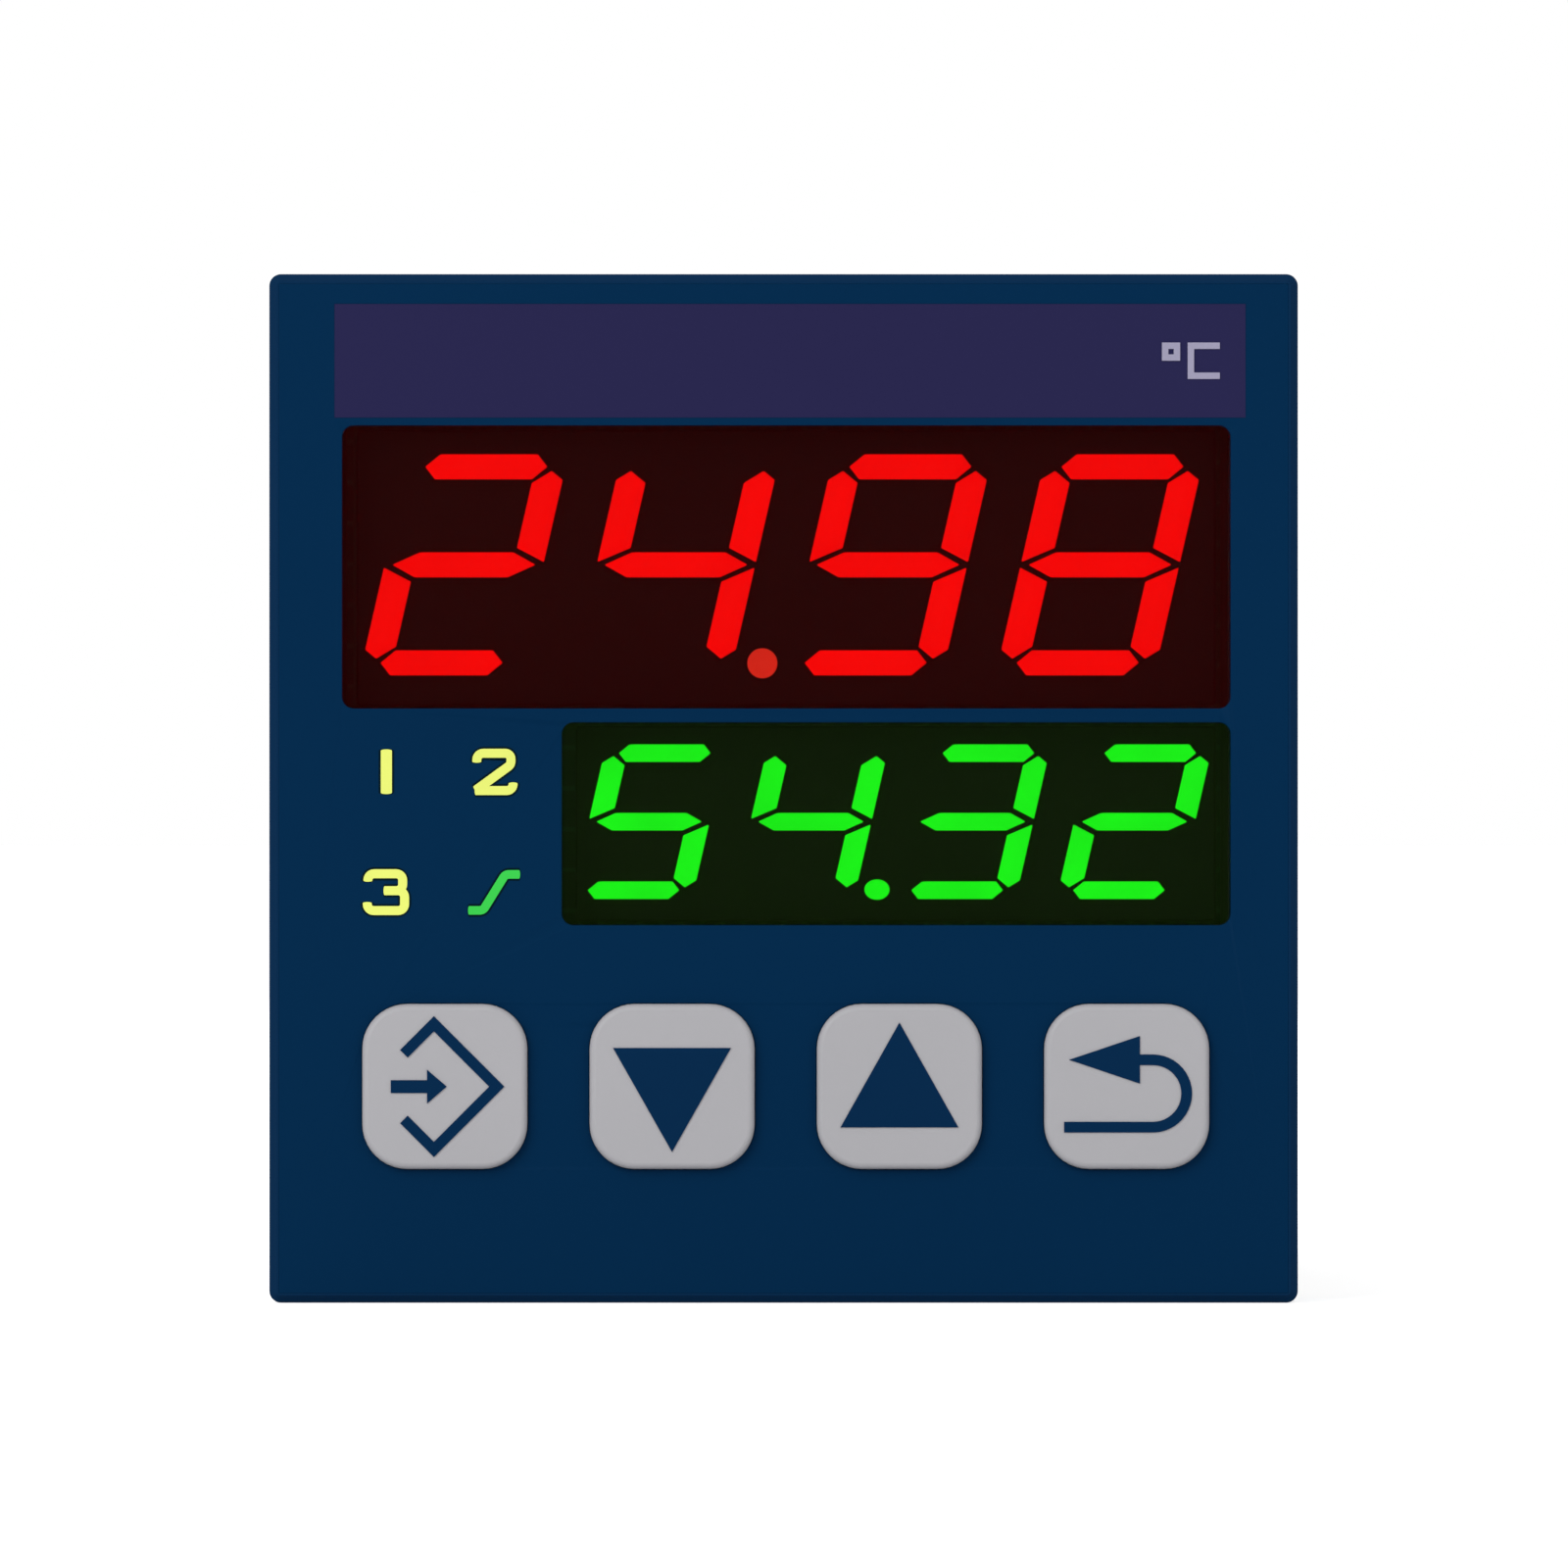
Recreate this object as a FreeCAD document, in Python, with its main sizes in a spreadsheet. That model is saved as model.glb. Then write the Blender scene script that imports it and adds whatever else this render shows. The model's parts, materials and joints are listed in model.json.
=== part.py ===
import FreeCAD, Part
import math
import os
import Sketcher

# Square panel temperature controller, 48 mm front, millimetres throughout.
# Seen from the front +X is right and +Z is up; +Y runs through the panel to
# the terminals.  The origin is the centre of the panel plane, on the rear
# face of the gasket.

Vector = FreeCAD.Vector
doc = FreeCAD.newDocument("temperature_controller")
sheet = doc.addObject("Spreadsheet::Sheet", "sizes")
nodes = []


class Size:
    """A number that also carries the spreadsheet expression it comes from."""

    def __init__(self, value, text):
        self.value = float(value)
        self.text = text

    @staticmethod
    def of(other):
        if isinstance(other, Size):
            return other
        return Size(other, "(%.6f)" % other)

    def __add__(self, other):
        other = Size.of(other)
        return Size(self.value + other.value, "(%s + %s)" % (self.text, other.text))

    def __sub__(self, other):
        other = Size.of(other)
        return Size(self.value - other.value, "(%s - %s)" % (self.text, other.text))

    def __mul__(self, other):
        other = Size.of(other)
        return Size(self.value * other.value, "(%s * %s)" % (self.text, other.text))

    def __truediv__(self, other):
        other = Size.of(other)
        return Size(self.value / other.value, "(%s / %s)" % (self.text, other.text))

    def __radd__(self, other):
        return Size.of(other) + self

    def __rsub__(self, other):
        return Size.of(other) - self

    def __rmul__(self, other):
        return Size.of(other) * self

    def __neg__(self):
        return Size.of(0) - self

    def whole(self):
        """The next whole number down, for counts that follow a size."""
        return Size(math.floor(self.value), "floor(%s)" % self.text)


def size(name, value):
    """Writes one named cell and hands back its Size."""
    size.row += 1
    sheet.set("A%d" % size.row, name)
    sheet.set("B%d" % size.row, str(value))
    sheet.setAlias("B%d" % size.row, name)
    return Size(value, "sizes." + name)


size.row = 0

# Front
front_width = size("front_width", 48.0)
front_corner = size("front_corner", 0.55)
front_edge_break = size("front_edge_break", 0.35)
bezel_depth = size("bezel_depth", 9.0)
bezel_wall = size("bezel_wall", 1.5)
front_wall = size("front_wall", 2.0)
film_thick = size("film_thick", 0.25)
film_margin = size("film_margin", 0.45)
gasket_thick = size("gasket_thick", 1.0)
gasket_inset = size("gasket_inset", 0.2)
# Header band and its unit mark
band_left_inset = size("band_left_inset", 3.05)
band_right_inset = size("band_right_inset", 2.45)
band_top_inset = size("band_top_inset", 1.4)
band_height = size("band_height", 5.3)
mark_height = size("mark_height", 1.7)
mark_width = size("mark_width", 1.5)
mark_right_inset = size("mark_right_inset", 1.2)
mark_stroke = size("mark_stroke", 0.3)
mark_space = size("mark_space", 0.35)
degree_side = size("degree_side", 0.85)
print_thick = size("print_thick", 0.06)
# Display windows
upper_left_inset = size("upper_left_inset", 3.4)
window_right_inset = size("window_right_inset", 3.15)
band_to_window = size("band_to_window", 0.37)
upper_high = size("upper_high", 13.2)
window_space = size("window_space", 0.65)
lower_high = size("lower_high", 9.46)
lower_from_indicator = size("lower_from_indicator", 3.15)
window_corner = size("window_corner", 0.55)
window_flange = size("window_flange", 0.7)
flange_side = size("flange_side", 1.1)
flange_end = size("flange_end", 0.2)
# Indicators
indicator_inset = size("indicator_inset", 5.47)
indicator_pitch = size("indicator_pitch", 5.03)
indicator_row_space = size("indicator_row_space", 5.63)
indicator_drop = size("indicator_drop", 2.3)
numeral_wide = size("numeral_wide", 2.0)
numeral_high = size("numeral_high", 2.1)
numeral_stroke = size("numeral_stroke", 0.42)
ramp_wide = size("ramp_wide", 2.45)
pipe_margin = size("pipe_margin", 0.45)
pipe_post = size("pipe_post", 1.6)
led_high = size("led_high", 0.8)
led_wide = size("led_wide", 1.6)
# Keys
key_side = size("key_side", 7.7)
key_corner = size("key_corner", 2.1)
key_left_inset = size("key_left_inset", 4.35)
key_right_inset = size("key_right_inset", 4.15)
key_lift = size("key_lift", 1.29)
key_proud = size("key_proud", 0.6)
key_edge = size("key_edge", 0.3)
key_gap = size("key_gap", 0.12)
key_travel = size("key_travel", 0.5)
key_flange = size("key_flange", 0.8)
key_flange_side = size("key_flange_side", 0.6)
key_stem = size("key_stem", 3.2)
symbol_stroke = size("symbol_stroke", 0.5)
switch_side = size("switch_side", 6.0)
switch_high = size("switch_high", 3.5)
plunger_out = size("plunger_out", 0.8)
plunger_in = size("plunger_in", 0.5)
plunger_gap = size("plunger_gap", 0.15)
# Display modules, digits and their board
module_gap = size("module_gap", 0.1)
module_thick = size("module_thick", 6.1)
module_side_gap = size("module_side_gap", 0.6)
module_end_gap = size("module_end_gap", 0.15)
lit_thick = size("lit_thick", 0.1)
slant = size("slant", 0.2285)
upper_digit_high = size("upper_digit_high", 10.35)
upper_pitch_share = size("upper_pitch_share", 0.2467)
upper_digit_shift = size("upper_digit_shift", -0.2)
upper_digit_lift = size("upper_digit_lift", 0.14)
upper_bar = size("upper_bar", 1.17)
upper_post = size("upper_post", 1.41)
upper_dot = size("upper_dot", 1.41)
lower_digit_high = size("lower_digit_high", 7.24)
lower_pitch_share = size("lower_pitch_share", 0.2526)
lower_digit_shift = size("lower_digit_shift", -0.18)
lower_digit_lift = size("lower_digit_lift", 0.09)
lower_bar = size("lower_bar", 0.82)
lower_post = size("lower_post", 1.08)
lower_dot = size("lower_dot", 1.1)
digit_share = size("digit_share", 0.748)
middle_inset = size("middle_inset", 0.36)
middle_cut = size("middle_cut", 0.13)
bar_gap = size("bar_gap", 0.15)
board_thick = size("board_thick", 1.6)
board_gap = size("board_gap", 0.2)
# Case
case_gap = size("case_gap", 0.1)
case_wall = size("case_wall", 1.6)
case_corner = size("case_corner", 0.8)
case_lap = size("case_lap", 5.5)
case_length = size("case_length", 78.0)
rear_wall = size("rear_wall", 1.8)
snap_high = size("snap_high", 0.5)
snap_long = size("snap_long", 2.2)
snap_wide = size("snap_wide", 14.0)
snap_gap = size("snap_gap", 0.15)
vent_wide = size("vent_wide", 1.6)
vent_long = size("vent_long", 11.0)
vent_pitch = size("vent_pitch", 4.0)
vent_count = size("vent_count", 7)
vent_start = size("vent_start", 36.0)
vent_from_middle = size("vent_from_middle", 8.0)
rib_thick = size("rib_thick", 1.1)
rib_high = size("rib_high", 1.4)
notch_pitch = size("notch_pitch", 1.5)
notch_depth = size("notch_depth", 0.6)
notch_count = size("notch_count", 17)
notch_first = size("notch_first", 5.1)
notch_wide = size("notch_wide", 10.4)
# Mounting frame and its latches
frame_wall = size("frame_wall", 1.2)
frame_gap = size("frame_gap", 0.2)
frame_length = size("frame_length", 13.0)
frame_corner = size("frame_corner", 1.5)
frame_pad = size("frame_pad", 1.0)
frame_pad_wide = size("frame_pad_wide", 9.0)
frame_beam = size("frame_beam", 1.5)
frame_slot = size("frame_slot", 1.2)
frame_slot_wide = size("frame_slot_wide", 32.0)
latch_notch = size("latch_notch", 6)
latch_reach = size("latch_reach", 7.5)
latch_gap = size("latch_gap", 0.1)
latch_thick = size("latch_thick", 0.4)
latch_wide = size("latch_wide", 8.0)
latch_anchor = size("latch_anchor", 1.3)
latch_bend = size("latch_bend", 2.7)
# Circuit boards inside
side_board_off = size("side_board_off", 1.4)
side_board_start = size("side_board_start", 2.0)
side_board_gap = size("side_board_gap", 0.15)
link_wide = size("link_wide", 2.5)
link_deep = size("link_deep", 3.65)
link_long = size("link_long", 20.0)
chip_side = size("chip_side", 10.0)
chip_high = size("chip_high", 1.4)
chip_room = size("chip_room", 2.5)
crystal_wide = size("crystal_wide", 3.5)
crystal_long = size("crystal_long", 11.0)
crystal_room = size("crystal_room", 5.5)
relay_high = size("relay_high", 15.3)
relay_wide = size("relay_wide", 7.2)
relay_long = size("relay_long", 20.4)
relay_pitch = size("relay_pitch", 8.6)
relay_room = size("relay_room", 3.6)
core_high = size("core_high", 12.0)
core_deep = size("core_deep", 16.0)
core_long = size("core_long", 18.0)
core_limb = size("core_limb", 4.0)
core_room = size("core_room", 5.0)
coil_high = size("coil_high", 15.0)
coil_stand = size("coil_stand", 2.0)
can_round = size("can_round", 5.0)
can_long = size("can_long", 14.0)
can_room = size("can_room", 5.0)
can_lift = size("can_lift", 9.0)
coupler_high = size("coupler_high", 3.6)
coupler_deep = size("coupler_deep", 6.5)
coupler_wide = size("coupler_wide", 4.6)
coupler_pitch = size("coupler_pitch", 10.0)
coupler_room = size("coupler_room", 4.5)
# Terminals
pole_pitch = size("pole_pitch", 5.08)
header_clear = size("header_clear", 2.4)
header_wide = size("header_wide", 9.0)
header_wall = size("header_wall", 0.8)
header_deep = size("header_deep", 14.0)
header_base = size("header_base", 4.0)
header_end = size("header_end", 1.2)
header_gap = size("header_gap", 0.1)
pin_side = size("pin_side", 1.0)
pin_out = size("pin_out", 7.6)
pin_gap = size("pin_gap", 0.2)
plug_gap = size("plug_gap", 0.15)
plug_out = size("plug_out", 10.0)
plug_stop = size("plug_stop", 0.3)
plug_lean = size("plug_lean", 4.6)
screw_hole = size("screw_hole", 3.8)
screw_head = size("screw_head", 3.5)
screw_long = size("screw_long", 4.4)
well_deep = size("well_deep", 6.0)
entry_wide = size("entry_wide", 3.3)
entry_high = size("entry_high", 3.0)
clamp_wall = size("clamp_wall", 0.5)
clamp_gap = size("clamp_gap", 0.1)
groove_wide = size("groove_wide", 0.6)
groove_deep = size("groove_deep", 0.6)
doc.recompute()

zero = Size(0, "0")

# Depths along Y, worked out from the panel plane
front_y = -(gasket_thick + bezel_depth)
film_back = front_y + film_thick
wall_back = film_back + front_wall
lens_back = wall_back + window_flange
module_face = lens_back + module_gap
board_face = module_face + module_thick
board_back = board_face + board_thick
case_front = -(gasket_thick + case_lap)
rear_inside = case_length - rear_wall

# Places on the front, worked out from its edges
front_half = front_width / 2
band_left = band_left_inset - front_half
band_right = front_half - band_right_inset
band_top = front_half - band_top_inset
band_low = band_top - band_height
upper_left = upper_left_inset - front_half
window_right = front_half - window_right_inset
upper_wide = window_right - upper_left
upper_mid_x = (upper_left + window_right) / 2
upper_top = band_low - band_to_window
upper_mid_z = upper_top - upper_high / 2
lower_top = upper_top - upper_high - window_space
lower_low = lower_top - lower_high
lower_mid_z = (lower_top + lower_low) / 2
indicator_left_x = indicator_inset - front_half
indicator_right_x = indicator_left_x + indicator_pitch
indicator_top_z = lower_top - indicator_drop
indicator_low_z = indicator_top_z - indicator_row_space
lower_left = indicator_right_x + lower_from_indicator
lower_wide = window_right - lower_left
lower_mid_x = (lower_left + window_right) / 2
key_first_x = key_left_inset + key_side / 2 - front_half
key_last_x = front_half - key_right_inset - key_side / 2
key_mid_z = (lower_low - front_half) / 2 + key_lift
upper_module_wide = upper_wide - module_side_gap * 2
upper_module_high = upper_high - module_end_gap * 2
lower_module_wide = lower_wide - module_side_gap * 2
lower_module_high = lower_high - module_end_gap * 2
upper_digit_pitch = upper_module_wide * upper_pitch_share
lower_digit_pitch = lower_module_wide * lower_pitch_share


# ---- helpers -----------------------------------------------------------
def bind(thing, path, value):
    thing.setExpression(path, Size.of(value).text)


def node(thing, label):
    thing.Label = label
    nodes.append(thing)
    return thing


def origin_feature(body, role):
    for feature in body.Origin.OriginFeatures:
        if feature.Role == role:
            return feature
    raise ValueError("no " + role)


def new_body(label):
    return node(doc.addObject("PartDesign::Body", label), label)


def sketch(body, name, role="XZ_Plane", offset=zero):
    """A sketch on an origin plane; offset runs along +Y, +X or +Z."""
    drawing = body.newObject("Sketcher::SketchObject", name)
    drawing.AttachmentSupport = (origin_feature(body, role), [""])
    drawing.MapMode = "FlatFace"
    shift = Size.of(offset)
    if role == "XZ_Plane":
        shift = -shift
    drawing.AttachmentOffset = FreeCAD.Placement(Vector(0, 0, shift.value), FreeCAD.Rotation())
    bind(drawing, "AttachmentOffset.Base.z", shift)
    return drawing


def pin_point(drawing, geometry, point, across, up):
    """Ties one point of a sketch to its two sizes."""
    across = Size.of(across)
    up = Size.of(up)
    first = drawing.addConstraint(
        Sketcher.Constraint("DistanceX", -1, 1, geometry, point, across.value)
    )
    drawing.setExpression("Constraints[%d]" % first, across.text)
    second = drawing.addConstraint(
        Sketcher.Constraint("DistanceY", -1, 1, geometry, point, up.value)
    )
    drawing.setExpression("Constraints[%d]" % second, up.text)


def draw_polygon(drawing, points):
    """A closed outline, each corner tied to its sizes."""
    points = [(Size.of(a), Size.of(b)) for a, b in points]
    lines = []
    for index, (across, up) in enumerate(points):
        after = points[(index + 1) % len(points)]
        start = Vector(across.value, up.value, 0)
        end = Vector(after[0].value, after[1].value, 0)
        lines.append(drawing.addGeometry(Part.LineSegment(start, end), False))
    for index, line in enumerate(lines):
        following = lines[(index + 1) % len(lines)]
        drawing.addConstraint(Sketcher.Constraint("Coincident", line, 2, following, 1))
    for line, (across, up) in zip(lines, points):
        pin_point(drawing, line, 1, across, up)


def draw_box(drawing, left, right, low, high):
    draw_polygon(drawing, [(left, low), (right, low), (right, high), (left, high)])


def draw_around(drawing, across, up, side):
    """A square centred on a point."""
    half = side / 2
    draw_box(drawing, across - half, across + half, up - half, up + half)


def draw_circle(drawing, across, up, radius):
    across = Size.of(across)
    up = Size.of(up)
    radius = Size.of(radius)
    shape = Part.Circle(Vector(across.value, up.value, 0), Vector(0, 0, 1), radius.value)
    ring = drawing.addGeometry(shape, False)
    pin_point(drawing, ring, 3, across, up)
    row = drawing.addConstraint(Sketcher.Constraint("Radius", ring, radius.value))
    drawing.setExpression("Constraints[%d]" % row, radius.text)


def draw_rounded(drawing, left, right, low, high, corner):
    """A rectangle with four equal round corners."""
    left, right, low, high, corner = [Size.of(v) for v in (left, right, low, high, corner)]
    quarter = math.pi / 2
    spots = [
        (left + corner, low + corner, 2),
        (right - corner, low + corner, 3),
        (right - corner, high - corner, 0),
        (left + corner, high - corner, 1),
    ]
    arcs = []
    for across, up, turn in spots:
        centre = Vector(across.value, up.value, 0)
        circle = Part.Circle(centre, Vector(0, 0, 1), corner.value)
        arc = Part.ArcOfCircle(circle, turn * quarter, (turn + 1) * quarter)
        arcs.append(drawing.addGeometry(arc, False))
    for arc, (across, up, turn) in zip(arcs, spots):
        pin_point(drawing, arc, 3, across, up)
    for index, arc in enumerate(arcs):
        after = arcs[(index + 1) % 4]
        start = drawing.getPoint(arc, 2)
        end = drawing.getPoint(after, 1)
        line = drawing.addGeometry(Part.LineSegment(start, end), False)
        drawing.addConstraint(Sketcher.Constraint("Tangent", arc, 2, line, 1))
        drawing.addConstraint(Sketcher.Constraint("Tangent", line, 2, after, 1))
        if index:
            drawing.addConstraint(Sketcher.Constraint("Equal", arcs[0], arc))
    row = drawing.addConstraint(Sketcher.Constraint("Radius", arcs[0], corner.value))
    drawing.setExpression("Constraints[%d]" % row, corner.text)


def draw_square(drawing, side, corner):
    draw_rounded(drawing, -side / 2, side / 2, -side / 2, side / 2, corner)


def pad(body, name, drawing, length, backwards=True):
    """Adds material; backwards is towards +Y from an XZ sketch."""
    feature = body.newObject("PartDesign::Pad", name)
    feature.Profile = drawing
    feature.Length = Size.of(length).value
    bind(feature, "Length", length)
    feature.Reversed = backwards
    drawing.Visibility = False
    return feature


def pad_both(body, name, drawing, length):
    feature = pad(body, name, drawing, length, False)
    feature.SideType = "Symmetric"
    return feature


def pocket(body, name, drawing, length, backwards=True):
    """Removes material; backwards is towards +Y from an XZ sketch."""
    feature = body.newObject("PartDesign::Pocket", name)
    feature.Profile = drawing
    feature.Length = Size.of(length).value
    bind(feature, "Length", length)
    feature.Reversed = not backwards
    drawing.Visibility = False
    return feature


def pocket_both(body, name, drawing, length):
    feature = pocket(body, name, drawing, length)
    feature.SideType = "Symmetric"
    return feature


def row_of(body, name, feature, role, pitch, count):
    """Repeats a feature along one of the body's own axes."""
    pattern = body.newObject("PartDesign::LinearPattern", name)
    pattern.Originals = [feature]
    pattern.Direction = (origin_feature(body, role), [""])
    pattern.Length = (pitch * (count - 1)).value
    bind(pattern, "Length", pitch * (count - 1))
    pattern.Occurrences = int(count.value)
    bind(pattern, "Occurrences", count)
    body.Tip = pattern
    return pattern


def mirror_of(body, name, feature, role):
    copy = body.newObject("PartDesign::Mirrored", name)
    copy.Originals = [feature]
    copy.MirrorPlane = (origin_feature(body, role), [""])
    body.Tip = copy
    return copy


def plain_box(name, left, right, near, far, low, high):
    """A block between six named faces."""
    left, right, near, far, low, high = [Size.of(v) for v in (left, right, near, far, low, high)]
    block = doc.addObject("Part::Box", name)
    block.Placement = FreeCAD.Placement(
        Vector(left.value, near.value, low.value), FreeCAD.Rotation()
    )
    bind(block, "Placement.Base.x", left)
    bind(block, "Placement.Base.y", near)
    bind(block, "Placement.Base.z", low)
    bind(block, "Length", right - left)
    bind(block, "Width", far - near)
    bind(block, "Height", high - low)
    return block


def block_node(label, left, right, near, far, low, high):
    return node(plain_box(label, left, right, near, far, low, high), label)


def joined(name, shapes):
    fusion = doc.addObject("Part::MultiFuse", name)
    fusion.Shapes = shapes
    fusion.Refine = True
    return fusion


def cut_by(name, base, tool):
    result = doc.addObject("Part::Cut", name)
    result.Base = base
    result.Tool = tool
    return result


def together(name, shapes):
    group = doc.addObject("Part::Compound", name)
    group.Links = shapes
    return group


def key_x(index):
    return key_first_x + (key_last_x - key_first_x) * index / 3


def front_edges(feature, depth):
    """Names of the edges that lie in the plane y = depth."""
    doc.recompute()
    names = []
    for index, edge in enumerate(feature.Shape.Edges, 1):
        box = edge.BoundBox
        if abs(box.YMin - depth) < 1e-6 and abs(box.YMax - depth) < 1e-6:
            names.append("Edge%d" % index)
    return names


def break_edges(body, name, feature, edges, width):
    chamfer = body.newObject("PartDesign::Chamfer", name)
    chamfer.Base = (feature, edges)
    chamfer.Size = Size.of(width).value
    bind(chamfer, "Size", width)
    body.Tip = chamfer
    return chamfer


def draw_windows(drawing, clearance):
    """The two display windows and the four key openings."""
    for wide, high, mid_x, mid_z in (
        (upper_wide, upper_high, upper_mid_x, upper_mid_z),
        (lower_wide, lower_high, lower_mid_x, lower_mid_z),
    ):
        draw_rounded(
            drawing,
            mid_x - wide / 2,
            mid_x + wide / 2,
            mid_z - high / 2,
            mid_z + high / 2,
            window_corner,
        )
    half = key_side / 2 + clearance
    for index in range(4):
        draw_rounded(
            drawing,
            key_x(index) - half,
            key_x(index) + half,
            key_mid_z - half,
            key_mid_z + half,
            key_corner + clearance,
        )


# ---- bezel -------------------------------------------------------------
pipe_left = indicator_left_x - numeral_wide / 2 - pipe_margin
pipe_right = indicator_right_x + ramp_wide / 2 + pipe_margin
pipe_low = indicator_low_z - numeral_high / 2 - pipe_margin
pipe_high = indicator_top_z + numeral_high / 2 + pipe_margin
cavity = front_width - bezel_wall * 2
case_width = cavity - case_gap * 2
case_inside = case_width - case_wall * 2
snap_back = case_front + snap_gap * 2 + snap_long

bezel = new_body("front_bezel")
outline = sketch(bezel, "bezel_outline", "XZ_Plane", front_y)
draw_square(outline, front_width, front_corner)
bezel_block = pad(bezel, "bezel_block", outline, bezel_depth)
edges = front_edges(bezel_block, front_y.value)
break_edges(bezel, "bezel_edge", bezel_block, edges, front_edge_break)
recess = sketch(bezel, "film_recess", "XZ_Plane", front_y)
draw_around(recess, zero, zero, front_width - film_margin * 2)
pocket(bezel, "film_seat", recess, film_thick)
hollow = sketch(bezel, "skirt_hollow", "XZ_Plane", wall_back)
draw_around(hollow, zero, zero, cavity)
pocket(bezel, "skirt", hollow, bezel_depth)
openings = sketch(bezel, "window_openings", "XZ_Plane", film_back)
draw_windows(openings, key_gap)
draw_box(openings, pipe_left, pipe_right, pipe_low, pipe_high)
pocket(bezel, "windows", openings, front_wall)
snap_seat = sketch(bezel, "snap_seat", "YZ_Plane")
draw_box(
    snap_seat,
    case_front + snap_gap,
    snap_back + snap_gap,
    cavity / 2 - 0.2,
    cavity / 2 + snap_high + snap_gap,
)
snap_slot = pocket_both(bezel, "snap_slot", snap_seat, snap_wide + snap_gap * 2)
mirror_of(bezel, "snap_slots", snap_slot, "XY_Plane")

# ---- film, band, unit mark and indicators ---------------------------------
film_sheet = doc.addObject("PartDesign::Body", "film_sheet")
film_outline = sketch(film_sheet, "film_outline", "XZ_Plane", front_y)
draw_around(film_outline, zero, zero, front_width - film_margin * 2)
draw_windows(film_outline, key_gap)
pad(film_sheet, "film_plate", film_outline, film_thick)

band_plate = plain_box(
    "band_plate", band_left, band_right, front_y, film_back, band_low, band_top
)


def numeral(name, mid_x, mid_z, bars):
    """A square-cut numeral; bars are (left, right, low, high) in eighths of its size."""
    pieces = []
    for index, (left, right, low, high) in enumerate(bars):
        pieces.append(
            plain_box(
                "%s_bar_%d" % (name, index),
                mid_x + left,
                mid_x + right,
                front_y,
                film_back,
                mid_z + low,
                mid_z + high,
            )
        )
    return pieces[0] if len(pieces) == 1 else joined(name + "_shape", pieces)


half_w = numeral_wide / 2
half_h = numeral_high / 2
half_s = numeral_stroke / 2
stroke = numeral_stroke
level_bars = [
    (-half_w, half_w, half_h - stroke, half_h),
    (-half_w, half_w, -half_s, half_s),
    (-half_w, half_w, -half_h, stroke - half_h),
]
one_shape = numeral(
    "one", indicator_left_x, indicator_top_z, [(stroke * -0.65, stroke * 0.65, -half_h, half_h)]
)
two_shape = numeral(
    "two",
    indicator_right_x,
    indicator_top_z,
    level_bars
    + [(half_w - stroke, half_w, -half_s, half_h), (-half_w, stroke - half_w, -half_h, half_s)],
)
three_shape = numeral(
    "three",
    indicator_left_x,
    indicator_low_z,
    level_bars + [(half_w - stroke, half_w, -half_h, half_h)],
)
ramp_body = doc.addObject("PartDesign::Body", "ramp_body")
ramp_line = sketch(ramp_body, "ramp_line", "XZ_Plane", front_y)
ramp_left = indicator_right_x - ramp_wide / 2
ramp_end = indicator_right_x + ramp_wide / 2
ramp_foot = indicator_right_x - ramp_wide * 0.24
ramp_head = indicator_right_x + ramp_wide * 0.24
ramp_low = indicator_low_z - half_h
ramp_top = indicator_low_z + half_h
draw_polygon(
    ramp_line,
    [
        (ramp_left, ramp_low),
        (ramp_foot + stroke * 0.35, ramp_low),
        (ramp_head + stroke * 0.35, ramp_top - stroke),
        (ramp_end, ramp_top - stroke),
        (ramp_end, ramp_top),
        (ramp_head - stroke * 0.35, ramp_top),
        (ramp_foot - stroke * 0.35, ramp_low + stroke),
        (ramp_left, ramp_low + stroke),
    ],
)
pad(ramp_body, "ramp_plate", ramp_line, film_thick)

# The unit mark, printed on the band: a small square ring and a squared C
mark = new_body("unit_mark")
mark_front = front_y - print_thick
mark_line = sketch(mark, "mark_line", "XZ_Plane", mark_front)
mark_right = band_right - mark_right_inset
mark_left = mark_right - mark_width
mark_low = (band_low + band_top - mark_height) / 2
mark_top = mark_low + mark_height
draw_polygon(
    mark_line,
    [
        (mark_left, mark_low),
        (mark_right, mark_low),
        (mark_right, mark_low + mark_stroke),
        (mark_left + mark_stroke, mark_low + mark_stroke),
        (mark_left + mark_stroke, mark_top - mark_stroke),
        (mark_right, mark_top - mark_stroke),
        (mark_right, mark_top),
        (mark_left, mark_top),
    ],
)
degree_right = mark_left - mark_space
draw_box(mark_line, degree_right - degree_side, degree_right, mark_top - degree_side, mark_top)
draw_box(
    mark_line,
    degree_right - degree_side + mark_stroke,
    degree_right - mark_stroke,
    mark_top - degree_side + mark_stroke,
    mark_top - mark_stroke,
)
pad(mark, "mark_plate", mark_line, print_thick)

film_print = joined("film_print", [band_plate, one_shape, two_shape, three_shape, ramp_body])
node(cut_by("front_film", film_sheet, film_print), "front_film")
node(together("header_band", [band_plate]), "header_band")
node(together("indicator_1", [one_shape]), "indicator_1")
node(together("indicator_2", [two_shape]), "indicator_2")
node(together("indicator_3", [three_shape]), "indicator_3")
node(together("ramp_indicator", [ramp_body]), "ramp_indicator")


# ---- display windows -----------------------------------------------------
def window(label, wide, high, mid_x, mid_z):
    pane = new_body(label)
    face = sketch(pane, label + "_face", "XZ_Plane", front_y)
    draw_rounded(
        face,
        mid_x - wide / 2,
        mid_x + wide / 2,
        mid_z - high / 2,
        mid_z + high / 2,
        window_corner,
    )
    pad(pane, label + "_pane", face, film_thick + front_wall)
    rim = sketch(pane, label + "_rim", "XZ_Plane", wall_back)
    draw_box(
        rim,
        mid_x - wide / 2 - flange_side,
        mid_x + wide / 2 + flange_side,
        mid_z - high / 2 - flange_end,
        mid_z + high / 2 + flange_end,
    )
    pad(pane, label + "_flange", rim, window_flange)


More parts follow.
